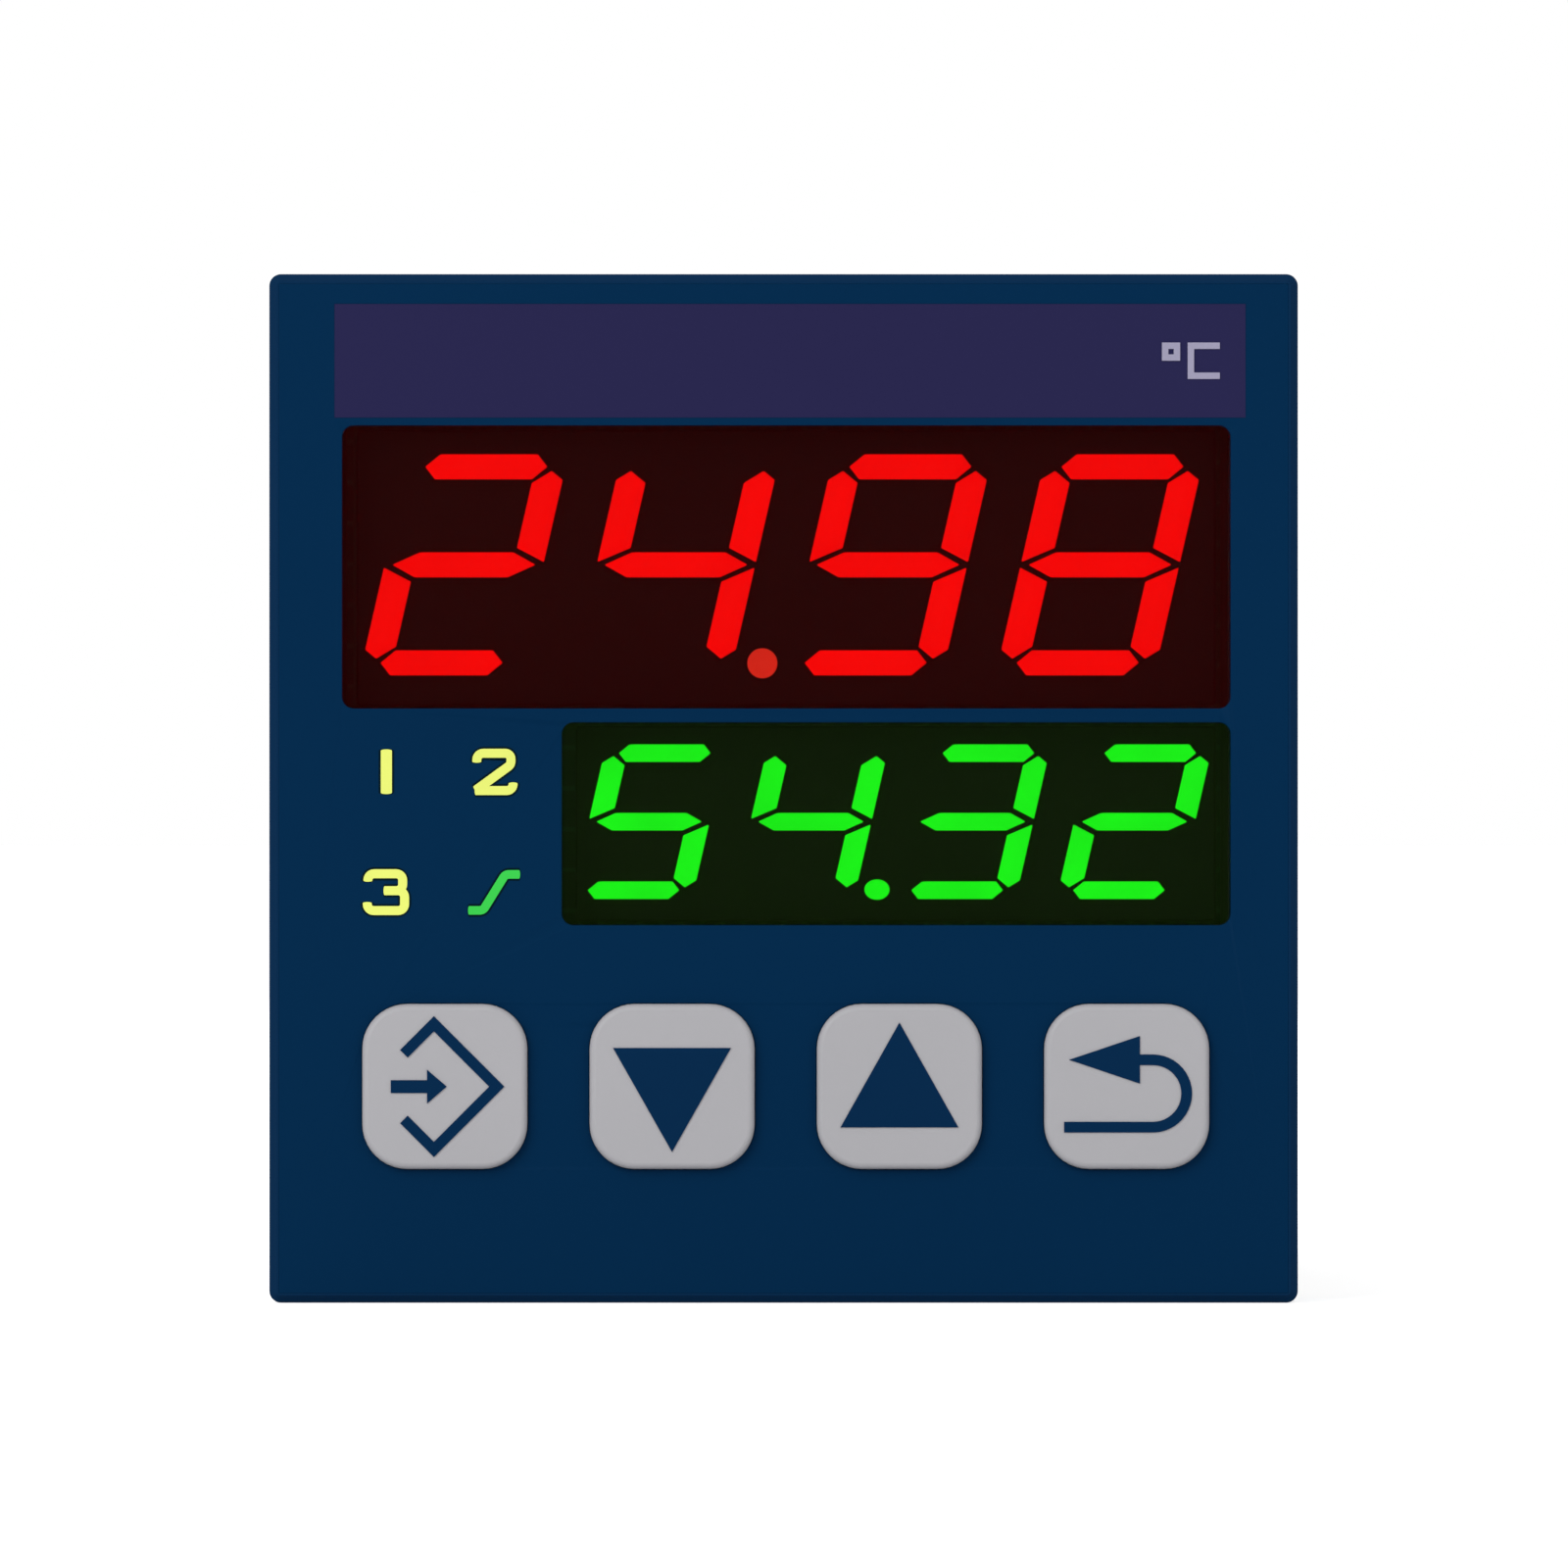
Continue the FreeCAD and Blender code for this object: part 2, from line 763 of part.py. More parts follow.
window("upper_window", upper_wide, upper_high, upper_mid_x, upper_mid_z)
window("lower_window", lower_wide, lower_high, lower_mid_x, lower_mid_z)

# ---- light pipe and its lamps ----------------------------------------------
lamp_spots = [
    (indicator_left_x, indicator_top_z),
    (indicator_right_x, indicator_top_z),
    (indicator_left_x, indicator_low_z),
    (indicator_right_x, indicator_low_z),
]
pipe = new_body("light_pipe")
pipe_face = sketch(pipe, "pipe_face", "XZ_Plane", film_back)
draw_box(pipe_face, pipe_left, pipe_right, pipe_low, pipe_high)
pad(pipe, "pipe_block", pipe_face, front_wall + window_flange)
pipe_posts = sketch(pipe, "pipe_posts", "XZ_Plane", lens_back)
for across, up in lamp_spots:
    draw_around(pipe_posts, across, up, pipe_post)
pad(pipe, "pipe_legs", pipe_posts, board_face - lens_back - led_high - module_gap)
lamps = new_body("indicator_leds")
lamp_faces = sketch(lamps, "lamp_faces", "XZ_Plane", board_face - led_high)
for across, up in lamp_spots:
    draw_around(lamp_faces, across, up, led_wide)
pad(lamps, "lamp_blocks", lamp_faces, led_high)

# ---- keys ------------------------------------------------------------------
key_front = front_y - key_proud
key_seat = wall_back
key_end = key_seat + key_flange
switch_top = board_face - switch_high
plunger_top = switch_top - plunger_out


def make_key(label, mid_x):
    key = new_body(label)
    half = key_side / 2
    face = sketch(key, label + "_face", "XZ_Plane", key_front)
    draw_rounded(face, mid_x - half, mid_x + half, key_mid_z - half, key_mid_z + half, key_corner)
    cap = pad(key, label + "_cap", face, key_seat - key_front)
    break_edges(key, label + "_edge", cap, front_edges(cap, key_front.value), key_edge)
    rim = sketch(key, label + "_rim", "XZ_Plane", key_seat)
    draw_around(rim, mid_x, key_mid_z, key_side + key_flange_side * 2)
    pad(key, label + "_flange", rim, key_flange)
    foot = sketch(key, label + "_foot", "XZ_Plane", key_end)
    draw_around(foot, mid_x, key_mid_z, key_stem)
    pad(key, label + "_stem", foot, plunger_top - key_end)
    plunger = new_body(label.replace("_key", "_plunger"))
    tip = sketch(plunger, label + "_tip", "XZ_Plane", plunger_top)
    draw_around(tip, mid_x, key_mid_z, key_stem)
    pad(plunger, label + "_push", tip, plunger_out + plunger_in)


key_names = ["enter", "down", "up", "return"]
for position, name in enumerate(key_names):
    make_key(name + "_key", key_x(position))

switches = new_body("key_switches")
switch_face = sketch(switches, "switch_face", "XZ_Plane", switch_top)
switch_wells = sketch(switches, "switch_wells", "XZ_Plane", switch_top)
for position in range(4):
    across = key_x(position)
    draw_around(switch_face, across, key_mid_z, switch_side)
    draw_around(switch_wells, across, key_mid_z, key_stem + plunger_gap * 2)
pad(switches, "switch_blocks", switch_face, switch_high)
pocket(switches, "switch_holes", switch_wells, plunger_in + key_travel + plunger_gap)

# ---- key symbols -------------------------------------------------------------
symbol_front = key_front - print_thick
half_stroke = symbol_stroke / 2


def symbol(label):
    mark = new_body(label)
    return mark, sketch(mark, label + "_line", "XZ_Plane", symbol_front)


def triangle_symbol(label, mid_x, base, apex, half_wide):
    mark, line = symbol(label)
    draw_polygon(
        line,
        [
            (mid_x - half_wide, key_mid_z + base),
            (mid_x + half_wide, key_mid_z + base),
            (mid_x, key_mid_z + apex),
        ],
    )
    pad(mark, label + "_print", line, print_thick)


triangle_wide = key_side * 0.357
triangle_symbol("down_symbol", key_x(1), key_side * 0.234, key_side * -0.396, triangle_wide)
triangle_symbol("up_symbol", key_x(2), key_side * -0.247, key_side * 0.388, triangle_wide)

# The open diamond with an arrow pointing into it
enter_mark, enter_line = symbol("enter_symbol")
unit = key_side / 7.7
enter_x = key_x(0)
cross = half_stroke * math.sqrt(0.5)
notch = unit * 1.0
path = [
    (unit * -1.90, unit * 1.53),
    (unit * -0.50, unit * 2.93),
    (unit * 2.43, unit * 0.00),
    (unit * -0.50, unit * -2.93),
    (unit * -1.90, unit * -1.53),
]
corner_out = half_stroke * math.sqrt(2.0)
draw_polygon(
    enter_line,
    [
        (enter_x + path[0][0] - cross, key_mid_z + path[0][1] + cross),
        (enter_x + path[0][0] + cross, key_mid_z + path[0][1] - cross),
        (enter_x + path[1][0], key_mid_z + path[1][1] - corner_out),
        (enter_x + path[2][0] - corner_out, key_mid_z + path[2][1]),
        (enter_x + path[3][0], key_mid_z + path[3][1] + corner_out),
        (enter_x + path[4][0] + cross, key_mid_z + path[4][1] + cross),
        (enter_x + path[4][0] - cross, key_mid_z + path[4][1] - cross),
        (enter_x + path[3][0], key_mid_z + path[3][1] - corner_out),
        (enter_x + path[2][0] + corner_out, key_mid_z + path[2][1]),
        (enter_x + path[1][0], key_mid_z + path[1][1] + corner_out),
    ],
)
draw_polygon(
    enter_line,
    [
        (enter_x - unit * 2.51, key_mid_z - unit * 0.30),
        (enter_x - unit * 0.82, key_mid_z - unit * 0.30),
        (enter_x - unit * 0.82, key_mid_z - unit * 0.79),
        (enter_x + unit * 0.10, key_mid_z),
        (enter_x - unit * 0.82, key_mid_z + unit * 0.79),
        (enter_x - unit * 0.82, key_mid_z + unit * 0.30),
        (enter_x - unit * 2.51, key_mid_z + unit * 0.30),
    ],
)
pad(enter_mark, "enter_print", enter_line, print_thick)

# The return arrow: a head, two bars and a half ring that joins them
return_x = key_x(3)
ring_z = key_mid_z - unit * 0.32
ring_x = return_x + unit * 1.22
ring_out = unit * 1.57 + half_stroke
ring_in = unit * 1.57 - half_stroke
ring_disc = doc.addObject("Part::Cylinder", "ring_disc")
ring_hole = doc.addObject("Part::Cylinder", "ring_hole")
turned = FreeCAD.Rotation(Vector(1, 0, 0), -90)
for disc, radius in ((ring_disc, ring_out), (ring_hole, ring_in)):
    disc.Placement = FreeCAD.Placement(
        Vector(ring_x.value, symbol_front.value, ring_z.value), turned
    )
    bind(disc, "Placement.Base.x", ring_x)
    bind(disc, "Placement.Base.y", symbol_front)
    bind(disc, "Placement.Base.z", ring_z)
    bind(disc, "Radius", radius)
    bind(disc, "Height", print_thick)
ring_side = plain_box(
    "ring_side",
    ring_x - ring_out * 2,
    ring_x,
    symbol_front,
    key_front,
    ring_z - ring_out * 2,
    ring_z + ring_out * 2,
)
half_ring = cut_by("half_ring", cut_by("whole_ring", ring_disc, ring_hole), ring_side)
top_bar = plain_box(
    "top_bar",
    return_x + unit * 0.55,
    ring_x,
    symbol_front,
    key_front,
    ring_z + ring_in,
    ring_z + ring_out,
)
low_bar = plain_box(
    "low_bar",
    return_x - unit * 2.92,
    ring_x,
    symbol_front,
    key_front,
    ring_z - ring_out,
    ring_z - ring_in,
)
arrow_body = doc.addObject("PartDesign::Body", "arrow_body")
arrow_line = sketch(arrow_body, "arrow_line", "XZ_Plane", symbol_front)
arrow_z = ring_z + (ring_in + ring_out) / 2
draw_polygon(
    arrow_line,
    [
        (return_x - unit * 2.69, arrow_z),
        (return_x + unit * 0.61, arrow_z - unit * 1.11),
        (return_x + unit * 0.61, arrow_z + unit * 1.11),
    ],
)
pad(arrow_body, "arrow_head", arrow_line, print_thick)
node(joined("return_symbol", [half_ring, top_bar, low_bar, arrow_body]), "return_symbol")

# ---- display modules and digits ----------------------------------------------
upper_base_z = upper_mid_z - upper_module_high / 2
lower_base_z = lower_mid_z - lower_module_high / 2
block_node(
    "upper_display",
    upper_mid_x - upper_module_wide / 2,
    upper_mid_x + upper_module_wide / 2,
    module_face + lit_thick,
    board_face,
    upper_base_z,
    upper_base_z + upper_module_high,
)
block_node(
    "lower_display",
    lower_mid_x - lower_module_wide / 2,
    lower_mid_x + lower_module_wide / 2,
    module_face + lit_thick,
    board_face,
    lower_base_z,
    lower_base_z + lower_module_high,
)

SEGMENTS = {
    "a": ("level", 1),
    "g": ("level", 0),
    "d": ("level", -1),
    "b": ("upright", 1, 1),
    "c": ("upright", 1, -1),
    "f": ("upright", -1, 1),
    "e": ("upright", -1, -1),
}
SHAPES = {"2": "abged", "3": "abgcd", "4": "fgbc", "5": "afgcd", "8": "abcdefg", "9": "abcdfg"}


def level_outline(place, half_wide, half_high, bar, post):
    """Six corners of a level bar: place is 1 at the top, 0 in the middle, -1 at the foot."""
    half = bar / 2
    level = place * (half_high - half)
    tip = half_wide - middle_inset.value
    shoulder = tip - bar
    if place:
        tip = half_wide - post / 2 - bar_gap.value
        shoulder = tip - half
    return [
        (-tip, level),
        (-shoulder, level + half),
        (shoulder, level + half),
        (tip, level),
        (shoulder, level - half),
        (-shoulder, level - half),
    ]


def upright_outline(side, rise, half_wide, half_high, bar, post):
    """Five corners of an upright bar, cut to a slope where it meets the middle bar."""
    outside = side * half_wide
    inside = side * (half_wide - post)
    tip = half_high - bar * 2 / 3
    low = middle_cut.value
    return [
        (outside, rise * low),
        (outside, rise * (tip - post * 0.3)),
        (outside - side * post * 0.43, rise * tip),
        (inside, rise * (tip - post * 0.4)),
        (inside, rise * (low + post * 0.47)),
    ]


def segment_prism(kind, mid_x, mid_z, half_wide, half_high, bar, post):
    """One bar of a slanted seven-bar digit."""
    if kind[0] == "level":
        flat = level_outline(kind[1], half_wide, half_high, bar, post)
    else:
        flat = upright_outline(kind[1], kind[2], half_wide, half_high, bar, post)
    lean = slant.value
    corners = [Vector(mid_x + x + z * lean, module_face.value, mid_z + z) for x, z in flat]
    face = Part.Face(Part.makePolygon(corners + corners[:1]))
    return face.extrude(Vector(0, lit_thick.value, 0))


def decimal_point(mid_x, mid_z, half_wide, half_high, dot):
    """The round point to the lower right of its digit."""
    across = mid_x + half_wide + dot * 0.235
    centre = Vector(across, module_face.value, mid_z - half_high + dot * 0.4)
    return Part.makeCylinder(dot / 2, lit_thick.value, centre, Vector(0, 1, 0))


def digit_row(prefix, text, point, mid_x, mid_z, pitch, high, bar, post, dot):
    """Lit and dark bars of one four-digit module, as two sets of solids."""
    lit = []
    dark = []
    half_wide = (pitch * digit_share / 2).value
    half_high = (high / 2).value
    for place, figure in enumerate(text):
        across = mid_x.value + (place - 1.5) * pitch.value
        for name, kind in SEGMENTS.items():
            solid = segment_prism(
                kind, across, mid_z.value, half_wide, half_high, bar.value, post.value
            )
            if name in SHAPES[figure]:
                lit.append(solid)
            else:
                dark.append(solid)
        if place == point:
            lit.append(decimal_point(across, mid_z.value, half_wide, half_high, dot.value))
    for label, bars in ((prefix + "_lit_segments", lit), (prefix + "_dark_segments", dark)):
        group = doc.addObject("Part::Feature", label)
        group.Shape = Part.makeCompound(bars)
        node(group, label)


digit_row(
    "upper",
    "2498",
    1,
    upper_mid_x + upper_digit_shift,
    upper_mid_z + upper_digit_lift,
    upper_digit_pitch,
    upper_digit_high,
    upper_bar,
    upper_post,
    upper_dot,
)
digit_row(
    "lower",
    "5432",
    1,
    lower_mid_x + lower_digit_shift,
    lower_mid_z + lower_digit_lift,
    lower_digit_pitch,
    lower_digit_high,
    lower_bar,
    lower_post,
    lower_dot,
)

# ---- circuit boards --------------------------------------------------------------
board_half = case_inside / 2 - board_gap
block_node(
    "display_board", -board_half, board_half, board_face, board_back, -board_half, board_half
)
side_out = case_inside / 2 - side_board_off
side_in = side_out - board_thick
side_half = case_inside / 2 - side_board_gap
side_end = rear_inside - side_board_gap * 2
block_node(
    "controller_board", -side_out, -side_in, side_board_start, side_end, -side_half, side_half
)
block_node("power_board", side_in, side_out, side_board_start, side_end, -side_half, side_half)
link_far = board_back + link_deep
link_half = link_long / 2
link_left = plain_box(
    "link_left", -side_in, link_wide - side_in, board_back, link_far, -link_half, link_half
)
link_right = plain_box(
    "link_right", side_in - link_wide, side_in, board_back, link_far, -link_half, link_half
)
node(together("board_links", [link_left, link_right]), "board_links")

# ---- parts on the boards ------------------------------------------------------------
header_near = case_length - header_deep
board_free = header_near - pin_side * 2
relay_start = board_free - relay_room - relay_wide - relay_pitch * 2
crystal_start = relay_start - crystal_room - crystal_wide
chip_start = crystal_start - chip_room - chip_side
coupler_start = board_free - coupler_room - coupler_deep
core_far = coupler_start - core_room
core_start = core_far - core_deep
can_start = core_start - can_room - can_round
block_node(
    "processor_chip",
    -side_in,
    chip_high - side_in,
    chip_start,
    chip_start + chip_side,
    -chip_side / 2,
    chip_side / 2,
)
block_node(
    "quartz_crystal",
    -side_in,
    crystal_wide - side_in,
    crystal_start,
    crystal_start + crystal_wide,
    -crystal_long / 2,
    crystal_long / 2,
)
relays = []
for index in range(3):
    near = relay_start + relay_pitch * index
    relays.append(
        plain_box(
            "relay_%d" % index,
            -side_in,
            relay_high - side_in,
            near,
            near + relay_wide,
            -relay_long / 2,
            relay_long / 2,
        )
    )
node(together("output_relays", relays), "output_relays")
core_right = side_in - coil_stand
window_half = core_long / 2 - core_limb * 0.75
core_block = plain_box(
    "core_block",
    core_right - core_high,
    core_right,
    core_start,
    core_far,
    -core_long / 2,
    core_long / 2,
)
core_window = plain_box(
    "core_window",
    core_right - core_high * 2,
    core_right + core_high,
    core_start + core_limb,
    core_far - core_limb,
    -window_half,
    window_half,
)
node(cut_by("transformer_core", core_block, core_window), "transformer_core")
block_node(
    "transformer_coil",
    side_in - coil_high,
    side_in,
    core_start + core_limb,
    core_far - core_limb,
    -window_half,
    window_half,
)
can = doc.addObject("Part::Cylinder", "smoothing_capacitor")
can.Placement = FreeCAD.Placement(
    Vector((side_in - can_long).value, can_start.value, can_lift.value),
    FreeCAD.Rotation(Vector(0, 1, 0), 90),
)
bind(can, "Placement.Base.x", side_in - can_long)
bind(can, "Placement.Base.y", can_start)
bind(can, "Placement.Base.z", can_lift)
bind(can, "Height", can_long)
bind(can, "Radius", can_round)
node(can, "smoothing_capacitor")
couplers = []
for index in range(3):
    low = coupler_pitch * (index - 1) - coupler_wide / 2
    couplers.append(
        plain_box(
            "coupler_%d" % index,
            side_in - coupler_high,
            side_in,
            coupler_start,
            coupler_start + coupler_deep,
            low,
            low + coupler_wide,
        )
    )
node(together("optocouplers", couplers), "optocouplers")

# ---- case -----------------------------------------------------------------------------
header_out = side_in
header_in = header_out - header_wide
header_mid = (header_out + header_in) / 2
header_room = case_inside - (header_clear + header_end) * 2
pole_count = (header_room / pole_pitch).whole()
header_half = pole_pitch * pole_count / 2 + header_end
case = new_body("case")
tube = sketch(case, "case_outline", "XZ_Plane", case_front)
draw_square(tube, case_width, case_corner)
pad(case, "case_block", tube, case_length - case_front)
bore = sketch(case, "case_bore", "XZ_Plane", case_front)
draw_around(bore, zero, zero, case_inside)
pocket(case, "case_hollow", bore, rear_inside - case_front)
ribs = sketch(case, "guide_ribs", "XZ_Plane", board_back)
for side in (1, -1):
    for inner in (side_out + side_board_gap, side_in - side_board_gap - rib_thick):
        left = inner * side
        right = (inner + rib_thick) * side
        for low, high in (
            (case_inside / 2 - rib_high, case_inside / 2 + 0.2),
            (-case_inside / 2 - 0.2, rib_high - case_inside / 2),
        ):
            if side > 0:
                draw_box(ribs, left, right, low, high)
            else:
                draw_box(ribs, right, left, low, high)
pad(case, "board_guides", ribs, rear_inside - board_back)
rear_openings = sketch(case, "rear_openings", "XZ_Plane", rear_inside)
for side in (1, -1):
    near = (header_in - header_gap) * side
    far = (header_out + header_gap) * side
    left, right = (near, far) if side > 0 else (far, near)
    draw_box(rear_openings, left, right, -header_half - header_gap, header_half + header_gap)
pocket(case, "header_openings", rear_openings, rear_wall)
bump = sketch(case, "snap_profile", "YZ_Plane")
draw_polygon(
    bump,
    [
        (case_front + snap_gap * 2, case_width / 2 - 0.2),
        (snap_back, case_width / 2 - 0.2),
        (snap_back, case_width / 2 + snap_high),
        (snap_back - snap_long * 0.25, case_width / 2 + snap_high),
        (case_front + snap_gap * 2, case_width / 2),
    ],
)
snap = pad_both(case, "snap_bump", bump, snap_wide)
mirror_of(case, "snap_bumps", snap, "XY_Plane")
slot_line = sketch(case, "vent_slot", "XY_Plane")
for side in (1, -1):
    draw_box(
        slot_line,
        vent_from_middle * side - vent_long / 2,
        vent_from_middle * side + vent_long / 2,
        vent_start,
        vent_start + vent_wide,
    )
slot_cut = pocket_both(case, "vent_cut", slot_line, case_width * 1.2)
row_of(case, "vent_slots", slot_cut, "Y_Axis", vent_pitch, vent_count)
tooth = sketch(case, "ratchet_tooth", "XY_Plane")
for side in (1, -1):
    surface = case_width / 2 * side
    draw_polygon(
        tooth,
        [
            (surface + 0.2 * side, notch_first - notch_pitch),
            (surface, notch_first - notch_pitch),
            (surface - notch_depth * side, notch_first),
            (surface + 0.2 * side, notch_first),
        ],
    )
tooth_cut = pocket_both(case, "ratchet_cut", tooth, notch_wide)
row_of(case, "ratchet_teeth", tooth_cut, "Y_Axis", notch_pitch, notch_count)

# ---- gasket ------------------------------------------------------------------------
gasket = new_body("panel_gasket")
ring = sketch(gasket, "gasket_ring", "XZ_Plane", -gasket_thick)
draw_around(ring, zero, zero, front_width - gasket_inset * 2)
draw_around(ring, zero, zero, cavity)
pad(gasket, "gasket_sheet", ring, gasket_thick)

# ---- mounting frame and its two latches ---------------------------------------------
frame_inner = case_width + frame_gap * 2
frame_outer = frame_inner + frame_wall * 2
latch_tip = notch_first + notch_pitch * latch_notch - latch_gap
frame_front = latch_tip - latch_reach
window_near = frame_front + latch_anchor + frame_wall / 2
window_far = latch_tip + frame_beam
latch_x = frame_inner / 2 + (frame_wall - latch_thick) / 2
holder = new_body("mounting_frame")
collar = sketch(holder, "frame_ring", "XZ_Plane", frame_front)
draw_square(collar, frame_outer, frame_corner)
draw_around(collar, zero, zero, frame_inner)
pad(holder, "frame_tube", collar, frame_length)
feet = sketch(holder, "frame_feet", "XZ_Plane", frame_front - frame_pad)
for low, high in (
    (frame_inner / 2, frame_outer / 2),
    (-frame_outer / 2, -frame_inner / 2),
):
    draw_box(feet, -frame_pad_wide / 2, frame_pad_wide / 2, low, high)
pad(holder, "pressure_pads", feet, frame_pad + 0.2)
slots = sketch(holder, "spring_slots", "XY_Plane")
draw_box(
    slots,
    -frame_slot_wide / 2,
    frame_slot_wide / 2,
    frame_front + frame_beam,
    frame_front + frame_beam + frame_slot,
)
pocket_both(holder, "spring_bars", slots, frame_outer * 1.2)
sides = sketch(holder, "latch_windows", "YZ_Plane")
half_latch = latch_wide / 2
draw_box(sides, window_near, window_far, -half_latch - latch_gap * 4, half_latch + latch_gap * 4)
pocket_both(holder, "side_windows", sides, frame_outer * 1.2)
anchor = sketch(holder, "latch_grooves", "XY_Plane")
for side in (1, -1):
    inner = (latch_x - latch_gap / 2) * side
    outer = (latch_x + latch_thick + latch_gap / 2) * side
    left, right = (inner, outer) if side > 0 else (outer, inner)
    draw_box(anchor, left, right, window_near - latch_anchor, window_near + 0.2)
pocket_both(holder, "latch_seats", anchor, latch_wide + latch_gap)


def latch(label, side):
    spring = new_body(label)
    profile = sketch(spring, label + "_profile", "XY_Plane")
    near = window_near - latch_anchor + latch_gap
    tip_x = case_width / 2 - notch_depth + latch_gap * 1.5
    draw_polygon(
        profile,
        [
            (latch_x * side, near),
            ((latch_x + latch_thick) * side, near),
            ((latch_x + latch_thick) * side, latch_tip - latch_bend),
            ((tip_x + latch_thick) * side, latch_tip),
            (tip_x * side, latch_tip),
            (latch_x * side, latch_tip - latch_bend),
        ],
    )
    pad_both(spring, label + "_strip", profile, latch_wide)


latch("latch_spring_right", 1)
latch("latch_spring_left", -1)

# ---- terminal headers, pins, plugs, screws and clamps ---------------------------------
plug_near = header_near + header_base + plug_stop
plug_rear = case_length + plug_out
first_pole = pole_pitch * (pole_count - 1) / -2
plug_floor = plug_rear - well_deep
plug_in = header_mid - header_wide / 2 + header_wall + plug_gap
plug_wide = header_wide - (header_wall + plug_gap) * 2
plug_outer = header_out + plug_gap * 2
plug_inner = header_in - plug_lean
screw_x = header_mid + header_wide * 0.22
entry_x = header_mid - header_wide * 0.45


def across_box(drawing, side, near, far, low, high):
    """A rectangle given on the right side and drawn on either."""
    if side > 0:
        draw_box(drawing, near, far, low, high)
    else:
        draw_box(drawing, -far, -near, low, high)


def terminals(word, side):
    header = new_body("terminal_header_" + word)
    outer = sketch(header, "header_outline_" + word, "XZ_Plane", header_near)
    across_box(outer, side, header_in, header_out, -header_half, header_half)
    pad(header, "header_block_" + word, outer, header_deep)
    mouth = sketch(header, "header_mouth_" + word, "XZ_Plane", header_near + header_base)
    inner_half = header_half - header_wall
    across_box(
        mouth, side, header_in + header_wall, header_out - header_wall, -inner_half, inner_half
    )
    pocket(header, "header_shroud_" + word, mouth, header_deep)
    half_pin = pin_side / 2
    hole = sketch(header, "pin_hole_" + word, "XZ_Plane", header_near)
    across_box(
        hole,
        side,
        header_mid - half_pin,
        header_mid + half_pin,
        first_pole - half_pin,
        first_pole + half_pin,
    )
    hole_cut = pocket(header, "pin_slot_" + word, hole, header_base)
    row_of(header, "pin_holes_" + word, hole_cut, "Z_Axis", pole_pitch, pole_count)

    pins = new_body("header_pins_" + word)
    blade = sketch(pins, "pin_blade_" + word, "XZ_Plane", header_near - pin_side * 2)
    across_box(
        blade,
        side,
        header_mid - half_pin,
        header_mid + half_pin,
        first_pole - half_pin,
        first_pole + half_pin,
    )
    blade_pad = pad(
        pins, "pin_post_" + word, blade, pin_side * 2 + header_base + pin_out
    )
    tail = sketch(pins, "pin_tail_" + word, "XZ_Plane", header_near - pin_side * 2)
    across_box(
        tail,
        side,
        header_mid - half_pin,
        header_out,
        first_pole - half_pin,
        first_pole + half_pin,
    )
    tail_pad = pad(pins, "pin_foot_" + word, tail, pin_side)
    pattern = row_of(pins, "pin_row_" + word, blade_pad, "Z_Axis", pole_pitch, pole_count)
    pattern.Originals = [blade_pad, tail_pad]

    plug = new_body("terminal_plug_" + word)
    nose = sketch(plug, "plug_nose_" + word, "XZ_Plane", plug_near)
    nose_half = header_half - header_wall - plug_gap
    across_box(nose, side, plug_in, plug_in + plug_wide, -nose_half, nose_half)
    pad(plug, "plug_tongue_" + word, nose, plug_rear - plug_near)
    head = sketch(plug, "plug_head_" + word, "XZ_Plane", case_length + plug_gap)
    across_box(head, side, plug_inner, plug_outer, -header_half, header_half)
    pad(plug, "plug_block_" + word, head, plug_out - plug_gap)
    socket = sketch(plug, "plug_socket_" + word, "XZ_Plane", plug_near)
    half_socket = half_pin + pin_gap
    across_box(
        socket,
        side,
        header_mid - half_socket,
        header_mid + half_socket,
        first_pole - half_socket,
        first_pole + half_socket,
    )
    socket_cut = pocket(plug, "socket_cut_" + word, socket, pin_out + pin_gap)
    row_of(plug, "sockets_" + word, socket_cut, "Z_Axis", pole_pitch, pole_count)
    wells = sketch(plug, "plug_wells_" + word, "XZ_Plane", plug_floor)
    draw_circle(wells, screw_x * side, first_pole, screw_hole / 2)
    across_box(
        wells,
        side,
        entry_x - entry_wide / 2,
        entry_x + entry_wide / 2,
        first_pole - entry_high / 2,
        first_pole + entry_high / 2,
    )
    well_cut = pocket(plug, "well_cut_" + word, wells, well_deep)
    row_of(plug, "wells_" + word, well_cut, "Z_Axis", pole_pitch, pole_count)
    groove = sketch(plug, "plug_groove_" + word, "XZ_Plane", plug_rear - groove_deep)
    groove_z = first_pole + pole_pitch / 2
    across_box(
        groove,
        side,
        plug_inner - 0.5,
        plug_outer + 0.5,
        groove_z - groove_wide / 2,
        groove_z + groove_wide / 2,
    )
    groove_cut = pocket(plug, "groove_cut_" + word, groove, groove_deep)
    row_of(plug, "grooves_" + word, groove_cut, "Z_Axis", pole_pitch, pole_count - 1)

    screws = new_body("terminal_screws_" + word)
    disc = sketch(screws, "screw_disc_" + word, "XZ_Plane", plug_floor)
    draw_circle(disc, screw_x * side, first_pole, screw_head / 2)
    disc_pad = pad(screws, "screw_body_" + word, disc, screw_long)
    row_of(screws, "screw_row_" + word, disc_pad, "Z_Axis", pole_pitch, pole_count)

    clamps = new_body("wire_clamps_" + word)
    cage = sketch(clamps, "cage_" + word, "XZ_Plane", plug_floor)
    for inset in (clamp_gap, clamp_gap + clamp_wall):
        across_box(
            cage,
            side,
            entry_x - entry_wide / 2 + inset,
            entry_x + entry_wide / 2 - inset,
            first_pole - entry_high / 2 + inset,
            first_pole + entry_high / 2 - inset,
        )
    cage_pad = pad(clamps, "cage_wall_" + word, cage, screw_long)
    row_of(clamps, "cage_row_" + word, cage_pad, "Z_Axis", pole_pitch, pole_count)


